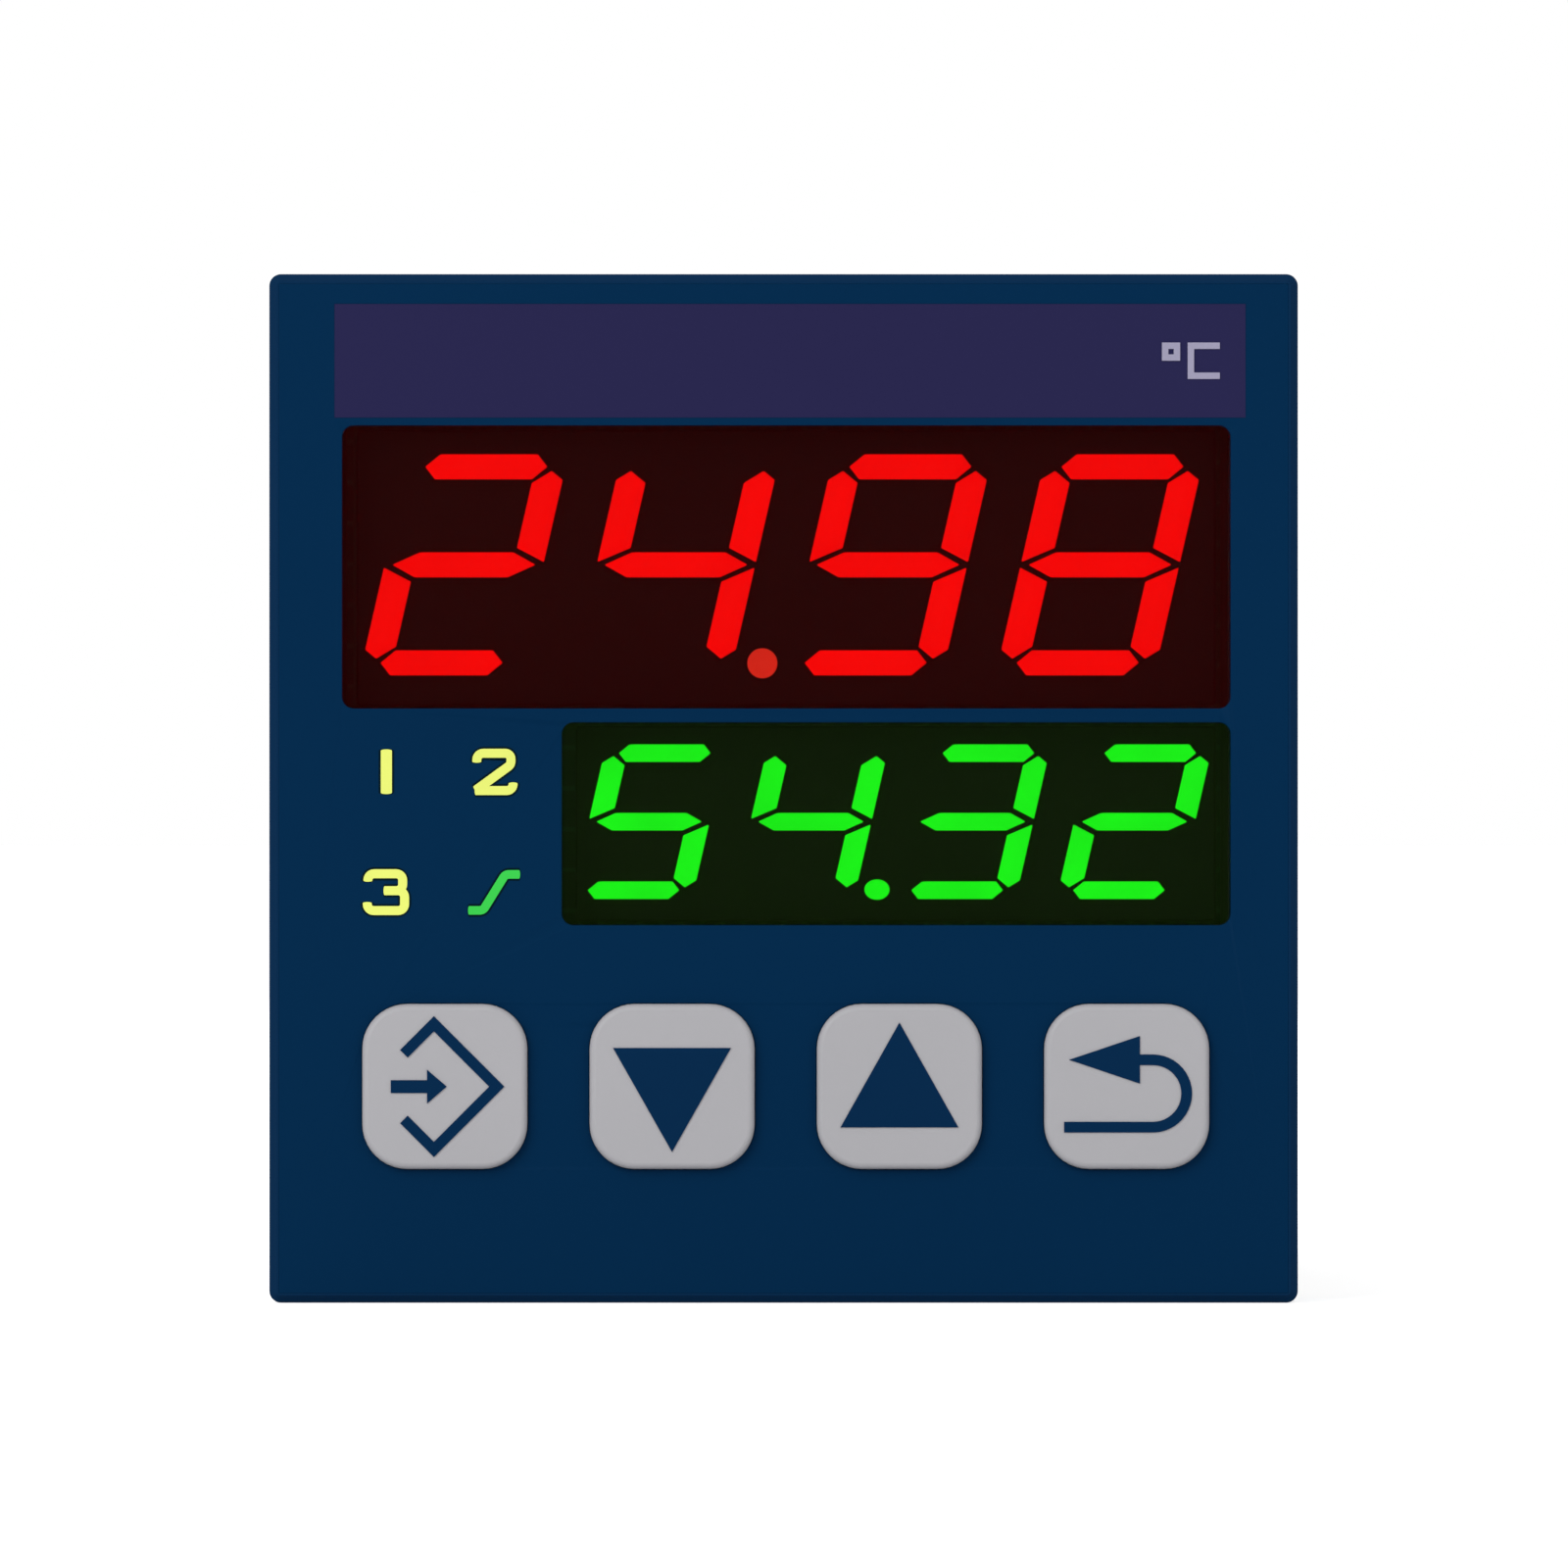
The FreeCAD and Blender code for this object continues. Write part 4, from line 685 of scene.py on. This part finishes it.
class CONTROLLER_OT_film(Operator):
    """Makes the printed film, its band, the unit mark and the four indicators"""

    bl_idname = "controller.film"
    bl_label = "Front film"

    pen = 0.42
    key_opening = 10  # wider outlines than this aren't key openings
    # Width of the pen, and the corners of each stroke from the figure's middle.
    figures = {
        "indicator_1": (0.52, [[(0.0, -0.98), (0.0, 0.98)]]),
        "indicator_2": (
            pen,
            [
                [(-0.81, 0.47), (-0.81, 0.86), (0.78, 0.86), (0.78, 0.33), (-0.84, -0.85)],
                [(-0.86, -0.88), (0.88, -0.88), (0.88, -0.55)],
            ],
        ),
        "indicator_3": (
            pen,
            [
                [(-0.86, 0.55), (-0.86, 0.87), (0.76, 0.87), (0.76, 0.08), (-0.08, 0.08)],
                [(-0.08, 0.08), (0.85, 0.08), (0.85, -0.85), (-0.89, -0.85), (-0.89, -0.5)],
            ],
        ),
        "ramp_indicator": (0.4, [[(-1.17, -0.84), (-0.52, -0.84), (0.52, 0.84), (1.16, 0.84)]]),
    }

    def execute(self, context):
        palette = colours()
        low, high = node_box("front_film")
        loops = [self.fitted(loop) for loop in front_loops("front_film", 4)]
        film = plate("front_film_sheet", loops, low.y, high.y, 0.03, 1)
        settle(film, "front_film", printed_film("Film Print", palette.film), ("front_film",))
        keep("header_band", printed_film("Band Print", palette.band))
        keep("unit_mark", printed_film("Mark Print", palette.mark, 0.45))
        yellow = lit("Numeral Light", palette.numeral, 0.72)
        green = lit("Ramp Light", palette.ramp, 0.66)
        # The surround is a dark rim laid round each lit figure, a little behind its face.
        surround_dark = printed_film("Surround Dark", palette.surround)
        for node, (wide, lines) in self.figures.items():
            self.figure(node, wide, lines, green if node == "ramp_indicator" else yellow)
            self.surround(node, wide, lines, surround_dark)
        keep("light_pipe", moulded_plastic("Light Guide", (0.12, 0.13, 0.14), 0.3))
        keep("indicator_leds", moulded_plastic("Lamp Chips", (0.25, 0.24, 0.12), 0.3))
        return {"FINISHED"}

    def fitted(self, loop):
        """A square key opening closed up to a fine gap round its key; other outlines stay."""
        spans = spans_of(loop)
        wide, high = (span[1] - span[0] for span in spans)
        if wide > self.key_opening or abs(wide - high) > 0.01:
            return loop
        middle = [sum(span) / 2 for span in spans]
        share = (wide - 2 * shapes().key_fit / MM) / wide
        return [[m + (v - m) * share for m, v in zip(middle, point)] for point in loop]

    def figure(self, node, wide, lines, finish):
        """One lit figure, drawn with a pen of one width."""
        whole = self.drawn(node, "_lens", wide, lines, proud=0.02, deep=0.2)
        settle(whole, node, finish, (node,))

    def surround(self, node, wide, lines, finish):
        """A dark rim round a figure, a little wider than its strokes."""
        rim = 0.2  # twice what the rim shows beside the figure
        whole = self.drawn(node, "_surround", wide + rim, lines, proud=0.008, deep=0.12)
        settle(whole, node, finish, ())

    def drawn(self, node, word, wide, lines, proud, deep):
        """The strokes of one figure, a little proud of the film."""
        low, high = node_box(node)
        middle = (low + high) / 2
        parts = []
        for number, line in enumerate(lines):
            corners = [(middle.x + x, middle.z + z) for x, z in line]
            lift = low.y - proud + number * LAYER
            outline = stroke(corners, wide, max(LEAST_RADIUS, wide / 2 + 0.03))
            parts.append(plate(node + word, [outline], lift, low.y + deep))
        whole = parts[0]
        for part in parts[1:]:
            join(whole, part)
        return whole


class CONTROLLER_OT_windows(Operator):
    """Makes the two tinted display windows"""

    bl_idname = "controller.windows"
    bl_label = "Display windows"

    def execute(self, context):
        palette = colours()
        cover = shapes().cover
        dress("upper_window", tinted_window("Red Window", palette.upper_glass, cover), 0.04, 2)
        dress("lower_window", tinted_window("Green Window", palette.lower_glass, cover), 0.04, 2)
        return {"FINISHED"}


class CONTROLLER_OT_digits(Operator):
    """Makes the display modules and their lit and dark bars"""

    bl_idname = "controller.digits"
    bl_label = "Display modules"

    soft = 0.035  # rounding of a bar's corners
    bar_points = 8  # outlines with fewer points than this are bars, and the others are dots
    shy = 0.02  # bars and dots stop this far short of the solid's back
    dot_steps = 40

    def execute(self, context):
        palette = colours()
        through = 1.0 / (1.0 - shapes().cover) ** 2
        for word, light, point, body, flat, bright in (
            ("upper", palette.upper_light, palette.upper_point, (0.02, 0.001, 0.001), 1.0, 0.88),
            ("lower", palette.lower_light, palette.lower_light, (0.004, 0.012, 0.002), 0.87, 0.92),
        ):
            title = word.title()
            face = moulded_plastic(title + " Module Face", body, 0.6, 0.1, 4000, 0.000006)
            dress(word + "_display", face, 0.15, 2)
            bars, dots = self.split(word + "_lit_segments", flat)
            glow = lit(title + " Digits Lit", light, through * bright)
            settle(bars, word + "_lit_segments", glow, (word + "_lit_segments",))
            spot = lit(title + " Point Lit", point, through * bright)
            settle(dots, word + "_lit_segments", spot)
            dark = moulded_plastic(title + " Digits Dark", body, 0.5, 0.1)
            unlit = self.split(word + "_dark_segments", flat)[0]
            settle(unlit, word + "_dark_segments", dark, (word + "_dark_segments",))
        return {"FINISHED"}

    def split(self, node, flat):
        """The bars of a row of digits, with soft corners, and apart from them its points."""
        loops = front_loops(node, 0.3)
        low, high = node_box(node)
        far = high.y - self.shy
        bars = [self.softened(loop) for loop in loops if len(loop) < self.bar_points]
        dots = [self.oval(loop, flat) for loop in loops if len(loop) >= self.bar_points]
        bars = plate(node + "_bars", bars, low.y, far)
        if dots:
            dots = plate(node + "_point", dots, low.y, far)
        return bars, dots

    def softened(self, loop):
        """The outline of one bar with its corners rounded."""
        count = len(loop)
        outline = []
        for index in range(count):
            corners = [loop[index - 1], loop[index], loop[(index + 1) % count]]
            path = rounded_path(corners, self.soft)
            outline.extend((p.x, p.y) for p in path[1:-1])
        return outline

    def oval(self, loop, flat):
        """A point drawn again as a smooth oval, flattened by a share."""
        spans = spans_of(loop)
        middle = [sum(span) / 2 for span in spans]
        half = (spans[0][1] - spans[0][0]) / 2
        return [
            (
                middle[0] + half / math.sqrt(flat) * math.cos(math.tau * step / self.dot_steps),
                middle[1] + half * flat * math.sin(math.tau * step / self.dot_steps),
            )
            for step in range(self.dot_steps)
        ]


class CONTROLLER_OT_keys(Operator):
    """Makes the four keys with their printed symbols, plungers and switches"""

    bl_idname = "controller.keys"
    bl_label = "Keys"

    side = 7.7
    corner = 2.1
    seat_depth = 2.0  # from the film's back to the flange
    flange_thick = 0.8
    flange_corner = 0.3
    stem_half = 1.6
    stem_corner = 0.2
    corner_steps = 10
    rim_steps = 5

    def execute(self, context):
        palette = colours()
        cap = moulded_plastic("Key Silicone", palette.key, 0.5, 0.16, 4200, 0.000006, 0.015)
        ink = printed_film("Symbol Ink", palette.symbol, 0.55, 0.04)
        dark = moulded_plastic("Plunger Plastic", (0.02, 0.02, 0.022), 0.6)
        for word in ("enter", "down", "up", "return"):
            self.key(word, cap)
            keep(word + "_symbol", ink)
            keep(word + "_plunger", dark)
        black = moulded_plastic("Switch Plastic", (0.012, 0.012, 0.013), 0.5)
        dress("key_switches", black, 0.15, 2)
        return {"FINISHED"}

    def key(self, word, finish):
        """One key: a soft-edged cap on a flange and a square stem."""
        node = word + "_key"
        low, high = node_box(node)
        middle = (low + high) / 2
        half = self.side / 2
        flange_half = (high.x - low.x) / 2
        soft = shapes().key_edge / MM
        seat = node_box("front_film")[1].y + self.seat_depth
        under = seat + self.flange_thick
        outline = rounded_loop(half, half, self.corner, self.corner_steps)
        rings = [[(x, y, z) for x, z in outline] for y in (seat, low.y + soft)]
        for turn in range(1, self.rim_steps + 1):
            angle = turn / self.rim_steps * math.pi / 2
            inset = soft * (1 - math.cos(angle))
            outline = rounded_loop(
                half - inset, half - inset, self.corner - inset, self.corner_steps
            )
            rings.append([(x, low.y + soft * (1 - math.sin(angle)), z) for x, z in outline])
        shape = bmesh.new()
        loft(shape, rings)
        flange = rounded_loop(flange_half, flange_half, self.flange_corner, 3)
        loft(shape, [[(x, y, z) for x, z in flange] for y in (under, seat)])
        stem = rounded_loop(self.stem_half, self.stem_half, self.stem_corner, 3)
        loft(shape, [[(x, y, z) for x, z in stem] for y in (high.y, under)])
        bmesh.ops.translate(shape, vec=(middle.x, 0, middle.z), verts=shape.verts)
        bmesh.ops.recalc_face_normals(shape, faces=shape.faces)
        piece = mesh_piece(node + "_cap", shape)
        finish_mesh(piece)
        settle(piece, node, finish, (node,))


# ---- inside ----------------------------------------------------------------
class CONTROLLER_OT_boards(Operator):
    """Makes the circuit boards and the parts on them"""

    bl_idname = "controller.boards"
    bl_label = "Circuit boards"

    # Height above the chip's lower side, and reach out of its edge, along a lead.
    lead_path = ((0.7, 0.0), (0.7, 0.5), (0.12, 0.7), (0.12, 1.2))
    lead_half = 0.08  # half of a lead's thickness
    lead_wide = (0.35, 0.65)  # the first lead's sides, from the end of the chip
    lead_ends = 1.0  # the chip's length that the row leaves free

    def execute(self, context):
        mask = laminate("Board Mask", (0.008, 0.11, 0.04))
        for node in ("display_board", "controller_board", "power_board"):
            keep(node, mask)
        black = moulded_plastic("Socket Plastic", (0.012, 0.012, 0.013), 0.6)
        dress("board_links", black, 0.1, 2)
        resin = moulded_plastic("Chip Resin", (0.018, 0.018, 0.02), 0.55)
        dress("processor_chip", resin, 0.12, 2)
        dress("quartz_crystal", metal("Crystal Can", (0.6, 0.6, 0.6)), 0.6, 4)
        cover = moulded_plastic("Relay Cover", (0.02, 0.05, 0.2), 0.35, 0.5)
        dress("output_relays", cover, 0.3, 3)
        ferrite = moulded_plastic("Ferrite", (0.04, 0.038, 0.036), 0.7)
        dress("transformer_core", ferrite, 0.3, 2)
        tape = moulded_plastic("Winding Tape", (0.65, 0.42, 0.05), 0.5)
        dress("transformer_coil", tape, 0.8, 3)
        sleeve = moulded_plastic("Capacitor Sleeve", (0.04, 0.045, 0.06), 0.4)
        dress("smoothing_capacitor", sleeve, 0.5, 3)
        coupler = moulded_plastic("Coupler Resin", (0.02, 0.02, 0.02), 0.55)
        dress("optocouplers", coupler, 0.15, 2)
        self.leads()
        return {"FINISHED"}

    def leads(self):
        """Rows of bent leads down two sides of the processor."""
        low, high = node_box("processor_chip")
        count = shapes().chip_leads
        step = (high.y - low.y - self.lead_ends) / (count - 1)
        finish = metal("Lead Tin", (0.72, 0.72, 0.7), 0.25)
        near, far = (low.y + side for side in self.lead_wide)
        for word, edge, out in (("upper", high.z, 1), ("lower", low.z, -1)):
            shape = bmesh.new()
            rings = []
            for height, reach in self.lead_path:
                x = low.x + height
                z = edge + out * reach
                below, above = x - self.lead_half, x + self.lead_half
                rings.append([(below, near, z), (above, near, z), (above, far, z), (below, far, z)])
            loft(shape, rings)
            bmesh.ops.recalc_face_normals(shape, faces=shape.faces)
            piece = mesh_piece("processor_leads_" + word, shape)
            piece = row_of(piece, count, (0, step * MM, 0), finish)
            settle(piece, "processor_chip", finish, ())


# ---- housing ---------------------------------------------------------------
class CONTROLLER_OT_housing(Operator):
    """Makes the case, the panel gasket, the mounting frame and its latches"""

    bl_idname = "controller.housing"
    bl_label = "Case and mounting"

    def execute(self, context):
        palette = colours()
        edge = shapes().edge / MM
        case = moulded_plastic("Case Plastic", palette.case, 0.58, 0.35, 1900, 0.00003, 0.06)
        dress("case", case, edge, 2, hollows=False)
        dress("panel_gasket", rubber("Gasket Rubber", (0.012, 0.012, 0.0125)), 0.1, 2)
        holder = moulded_plastic("Frame Plastic", palette.holder, 0.5, 0.35, 2200, 0.00002, 0.05)
        dress("mounting_frame", holder, edge, 2)
        steel = metal("Spring Steel", (0.16, 0.16, 0.165), 0.42)
        for side in ("left", "right"):
            dress("latch_spring_" + side, steel, 0.05, 2, hollows=False)
        return {"FINISHED"}


class CONTROLLER_OT_terminals(Operator):
    """Makes the headers, pins, plugs, clamps and slotted screws"""

    bl_idname = "controller.terminals"
    bl_label = "Terminals"

    pitch = 5.08
    arc_steps = 18  # along each half of a head
    shank_sides = 40
    shank_share = 0.985  # of the head's radius
    slot_deep = 0.9
    # Depth below the top of a head, and how far its rim draws in there.
    head_rim = ((1.0, 0.0), (0.25, 0.0), (0.08, 0.06), (0.0, 0.22))

    def execute(self, context):
        edge = shapes().edge / MM
        green = moulded_plastic("Plug Plastic", colours().plug, 0.42, 0.4, 2600, 0.00001, 0.05)
        black = moulded_plastic("Header Plastic", (0.014, 0.014, 0.015), 0.5, 0.35)
        tin = metal("Tinned Pins", (0.42, 0.4, 0.36), 0.34)
        steel = metal("Screw Steel", (0.42, 0.42, 0.43), 0.36)
        # Dark steel for the shanks: painted shade at the floor of each screw slot.
        slot_shade = metal("Slot Shade Steel", (0.09, 0.09, 0.095), 0.5)
        for side in ("left", "right"):
            dress("terminal_header_" + side, black, edge, 2)
            dress("header_pins_" + side, tin, 0.12, 1)
            dress("terminal_plug_" + side, green, edge, 2)
            dress("wire_clamps_" + side, tin, 0.06, 1)
            self.screws(side, steel, slot_shade)
        return {"FINISHED"}

    def screws(self, side, finish, slot_shade):
        """A slotted cheese head repeated down the plug, over a shank in dark steel that paints the
        shade at the floor of the slot.
        """
        node = "terminal_screws_" + side
        low, high = node_box(node)
        radius = (high.x - low.x) / 2
        span = high.z - low.z - radius * 2
        count = int(round(span / self.pitch)) + 1
        half_slot = shapes().slot_wide / MM / 2
        middle = (low.x + high.x) / 2
        heads = bmesh.new()
        for turn in (0, 1):
            self.half_head(heads, turn, radius, half_slot, high.y)
        shanks = bmesh.new()
        self.core(shanks, radius, low.y, high.y)
        # The shanks take the dark steel, which paints the shade in the slots.
        for word, shape, coat in (("_heads", heads, finish), ("_shanks", shanks, slot_shade)):
            bmesh.ops.translate(shape, vec=(middle, 0, low.z + radius), verts=shape.verts)
            bmesh.ops.recalc_face_normals(shape, faces=shape.faces)
            piece = mesh_piece(node + word, shape)
            piece = row_of(piece, count, (0, 0, span / (count - 1) * MM), coat)
            settle(piece, node, coat, (node,) if coat is finish else ())

    def core(self, shape, radius, near, far):
        """The round shank below the slot."""
        radius *= self.shank_share
        turns = [a * math.tau / self.shank_sides for a in range(self.shank_sides)]
        ring = [(radius * math.cos(a), radius * math.sin(a)) for a in turns]
        loft(shape, [[(x, y, z) for x, z in ring] for y in (near, far - self.slot_deep)])

    def half_head(self, shape, turn, radius, half_slot, far):
        """Half of the head, on one side of the slot, with a soft rim."""
        start = math.asin(half_slot / radius)
        sign = -1 if turn else 1
        rings = []
        for depth, inset in self.head_rim:
            outline = []
            reach = radius - inset
            for step in range(self.arc_steps + 1):
                angle = start + (math.pi - 2 * start) * step / self.arc_steps
                outline.append((reach * math.cos(angle), max(half_slot, reach * math.sin(angle))))
            rings.append([(x * sign, far - depth, z * sign) for x, z in outline])
        loft(shape, rings)


# ---- stage -----------------------------------------------------------------
class CONTROLLER_OT_stage(Operator):
    """Makes the floor, the soft light and the camera"""

    bl_idname = "controller.stage"
    bl_label = "Stage"

    # Lengths in metres and power in watts.
    lamps = (
        ("Key Softbox", (-0.45, -0.7, 0.42), 4.2),
        ("Fill Softbox", (0.55, -0.75, 0.1), 1.8),
        ("Rear Softbox", (-0.15, 0.75, 0.55), 3.0),
    )
    lamp_wide = 0.6
    lamp_aim = (0, 0.03, 0)
    # The view's width is taken this far behind the frontmost point, close to the film.
    plane_behind = 0.0006
    view_shift = 0.00002
    floor_half = 6.0
    floor_below = 0.00002
    floor_lift = 0.66  # what the floor shows to the camera beyond what it reflects

    def execute(self, context):
        stage = context.scene.controller_stage
        (_, front, base), _ = CAD_BOX
        self.floor(base)
        self.world(stage.fill)
        for name, spot, power in self.lamps:
            self.softbox(name, Vector(spot), power * stage.lamp)
        lens = bpy.data.cameras.new("Camera")
        lens.lens = stage.focal
        lens.sensor_width = 36.0
        lens.clip_start = 0.01
        lens.clip_end = 20
        camera = bpy.data.objects.new("Camera", lens)
        away = stage.view_wide * stage.focal / lens.sensor_width
        plane = front + self.plane_behind
        camera.location = (self.view_shift, plane - away, stage.aim_height)
        camera.rotation_euler = (math.radians(90), 0, 0)
        context.scene.collection.objects.link(camera)
        context.scene.camera = camera
        context.scene.view_settings.view_transform = "Standard"
        return {"FINISHED"}

    def floor(self, base):
        """A pale floor just below the part."""
        shape = bmesh.new()
        bmesh.ops.create_grid(shape, x_segments=2, y_segments=2, size=self.floor_half)
        mesh = bpy.data.meshes.new("Floor")
        bmesh.ops.translate(shape, vec=(0, 0, base - self.floor_below), verts=shape.verts)
        shape.to_mesh(mesh)
        shape.free()
        floor = place_mesh("Floor", mesh)
        material, tree, shader, _ = shade("Pale Floor")
        shader.inputs["Base Color"].default_value = (0.88, 0.88, 0.88, 1)
        shader.inputs["Roughness"].default_value = 0.9
        shader.inputs["Specular IOR Level"].default_value = 0.1
        ray = tree.nodes.new("ShaderNodeLightPath")
        lift = tree.nodes.new("ShaderNodeMath")
        lift.operation = "MULTIPLY"
        lift.inputs[1].default_value = self.floor_lift
        tree.links.new(ray.outputs["Is Camera Ray"], lift.inputs[0])
        shader.inputs["Emission Color"].default_value = (1, 1, 1, 1)
        tree.links.new(lift.outputs[0], shader.inputs["Emission Strength"])
        self.open_below(tree, shader)
        mesh.materials.append(material)

    def open_below(self, tree, shader):
        """Leaves the floor clear from underneath, so that the underside can be looked at."""
        side = tree.nodes.new("ShaderNodeNewGeometry")
        clear = tree.nodes.new("ShaderNodeBsdfTransparent")
        mix = tree.nodes.new("ShaderNodeMixShader")
        end = tree.nodes["Material Output"]
        tree.links.new(side.outputs["Backfacing"], mix.inputs[0])
        tree.links.new(shader.outputs[0], mix.inputs[1])
        tree.links.new(clear.outputs[0], mix.inputs[2])
        tree.links.new(mix.outputs[0], end.inputs["Surface"])

    def world(self, strength):
        """Even light from all round, which the camera, gloss and clear plastic see as white."""
        world = bpy.data.worlds.new("Studio")
        world.use_nodes = True
        tree = world.node_tree
        tree.nodes.clear()
        ray = tree.nodes.new("ShaderNodeLightPath")
        seen = tree.nodes.new("ShaderNodeMath")
        seen.operation = "ADD"
        through = tree.nodes.new("ShaderNodeMath")
        through.operation = "ADD"
        through.use_clamp = True
        light = tree.nodes.new("ShaderNodeBackground")
        white = tree.nodes.new("ShaderNodeBackground")
        for background, level in ((light, strength), (white, 1.0)):
            background.inputs["Color"].default_value = (1, 1, 1, 1)
            background.inputs["Strength"].default_value = level
        mix = tree.nodes.new("ShaderNodeMixShader")
        end = tree.nodes.new("ShaderNodeOutputWorld")
        tree.links.new(ray.outputs["Is Camera Ray"], seen.inputs[0])
        tree.links.new(ray.outputs["Is Glossy Ray"], seen.inputs[1])
        tree.links.new(seen.outputs[0], through.inputs[0])
        tree.links.new(ray.outputs["Is Transmission Ray"], through.inputs[1])
        tree.links.new(through.outputs[0], mix.inputs[0])
        tree.links.new(light.outputs[0], mix.inputs[1])
        tree.links.new(white.outputs[0], mix.inputs[2])
        tree.links.new(mix.outputs[0], end.inputs["Surface"])
        bpy.context.scene.world = world

    def softbox(self, name, spot, power):
        """A square lamp turned towards the part."""
        lamp = bpy.data.lights.new(name, "AREA")
        lamp.shape = "SQUARE"
        lamp.size = self.lamp_wide
        lamp.energy = power
        holder = bpy.data.objects.new(name, lamp)
        holder.location = spot
        away = Vector(self.lamp_aim) - spot
        holder.rotation_euler = away.to_track_quat("-Z", "Y").to_euler()
        bpy.context.scene.collection.objects.link(holder)


# ---- sidebar ---------------------------------------------------------------
STEPS = (
    CONTROLLER_OT_bezel,
    CONTROLLER_OT_film,
    CONTROLLER_OT_windows,
    CONTROLLER_OT_digits,
    CONTROLLER_OT_keys,
    CONTROLLER_OT_boards,
    CONTROLLER_OT_housing,
    CONTROLLER_OT_terminals,
    CONTROLLER_OT_stage,
)


class CONTROLLER_PT_sidebar(Panel):
    """Lists every setting and step in the sidebar"""

    bl_idname = "CONTROLLER_PT_sidebar"
    bl_label = "Temperature Controller"
    bl_space_type = "VIEW_3D"
    bl_region_type = "UI"
    bl_category = "Controller"

    def draw(self, context):
        scene = context.scene
        for title, group in (
            ("Colours", scene.controller_colours),
            ("Shapes", scene.controller_shapes),
            ("Stage", scene.controller_stage),
        ):
            box = self.layout.box()
            box.label(text=title)
            for key in group.bl_rna.properties.keys():
                if key not in ("rna_type", "name"):
                    box.prop(group, key)
        for step in STEPS:
            self.layout.operator(step.bl_idname)


GROUPS = (ControllerColours, ControllerShapes, ControllerStage)


def register():
    """Adds the settings, the steps and the sidebar."""
    for item in GROUPS + STEPS + (CONTROLLER_PT_sidebar,):
        bpy.utils.register_class(item)
    bpy.types.Scene.controller_colours = PointerProperty(type=ControllerColours)
    bpy.types.Scene.controller_shapes = PointerProperty(type=ControllerShapes)
    bpy.types.Scene.controller_stage = PointerProperty(type=ControllerStage)


def unregister():
    """Takes them out again."""
    del bpy.types.Scene.controller_colours
    del bpy.types.Scene.controller_shapes
    del bpy.types.Scene.controller_stage
    for item in reversed(GROUPS + STEPS + (CONTROLLER_PT_sidebar,)):
        bpy.utils.unregister_class(item)


def main():
    """Runs every step in order."""
    register()
    for step in STEPS:
        group, name = step.bl_idname.split(".")
        getattr(getattr(bpy.ops, group), name)()


if __name__ == "__main__":
    main()
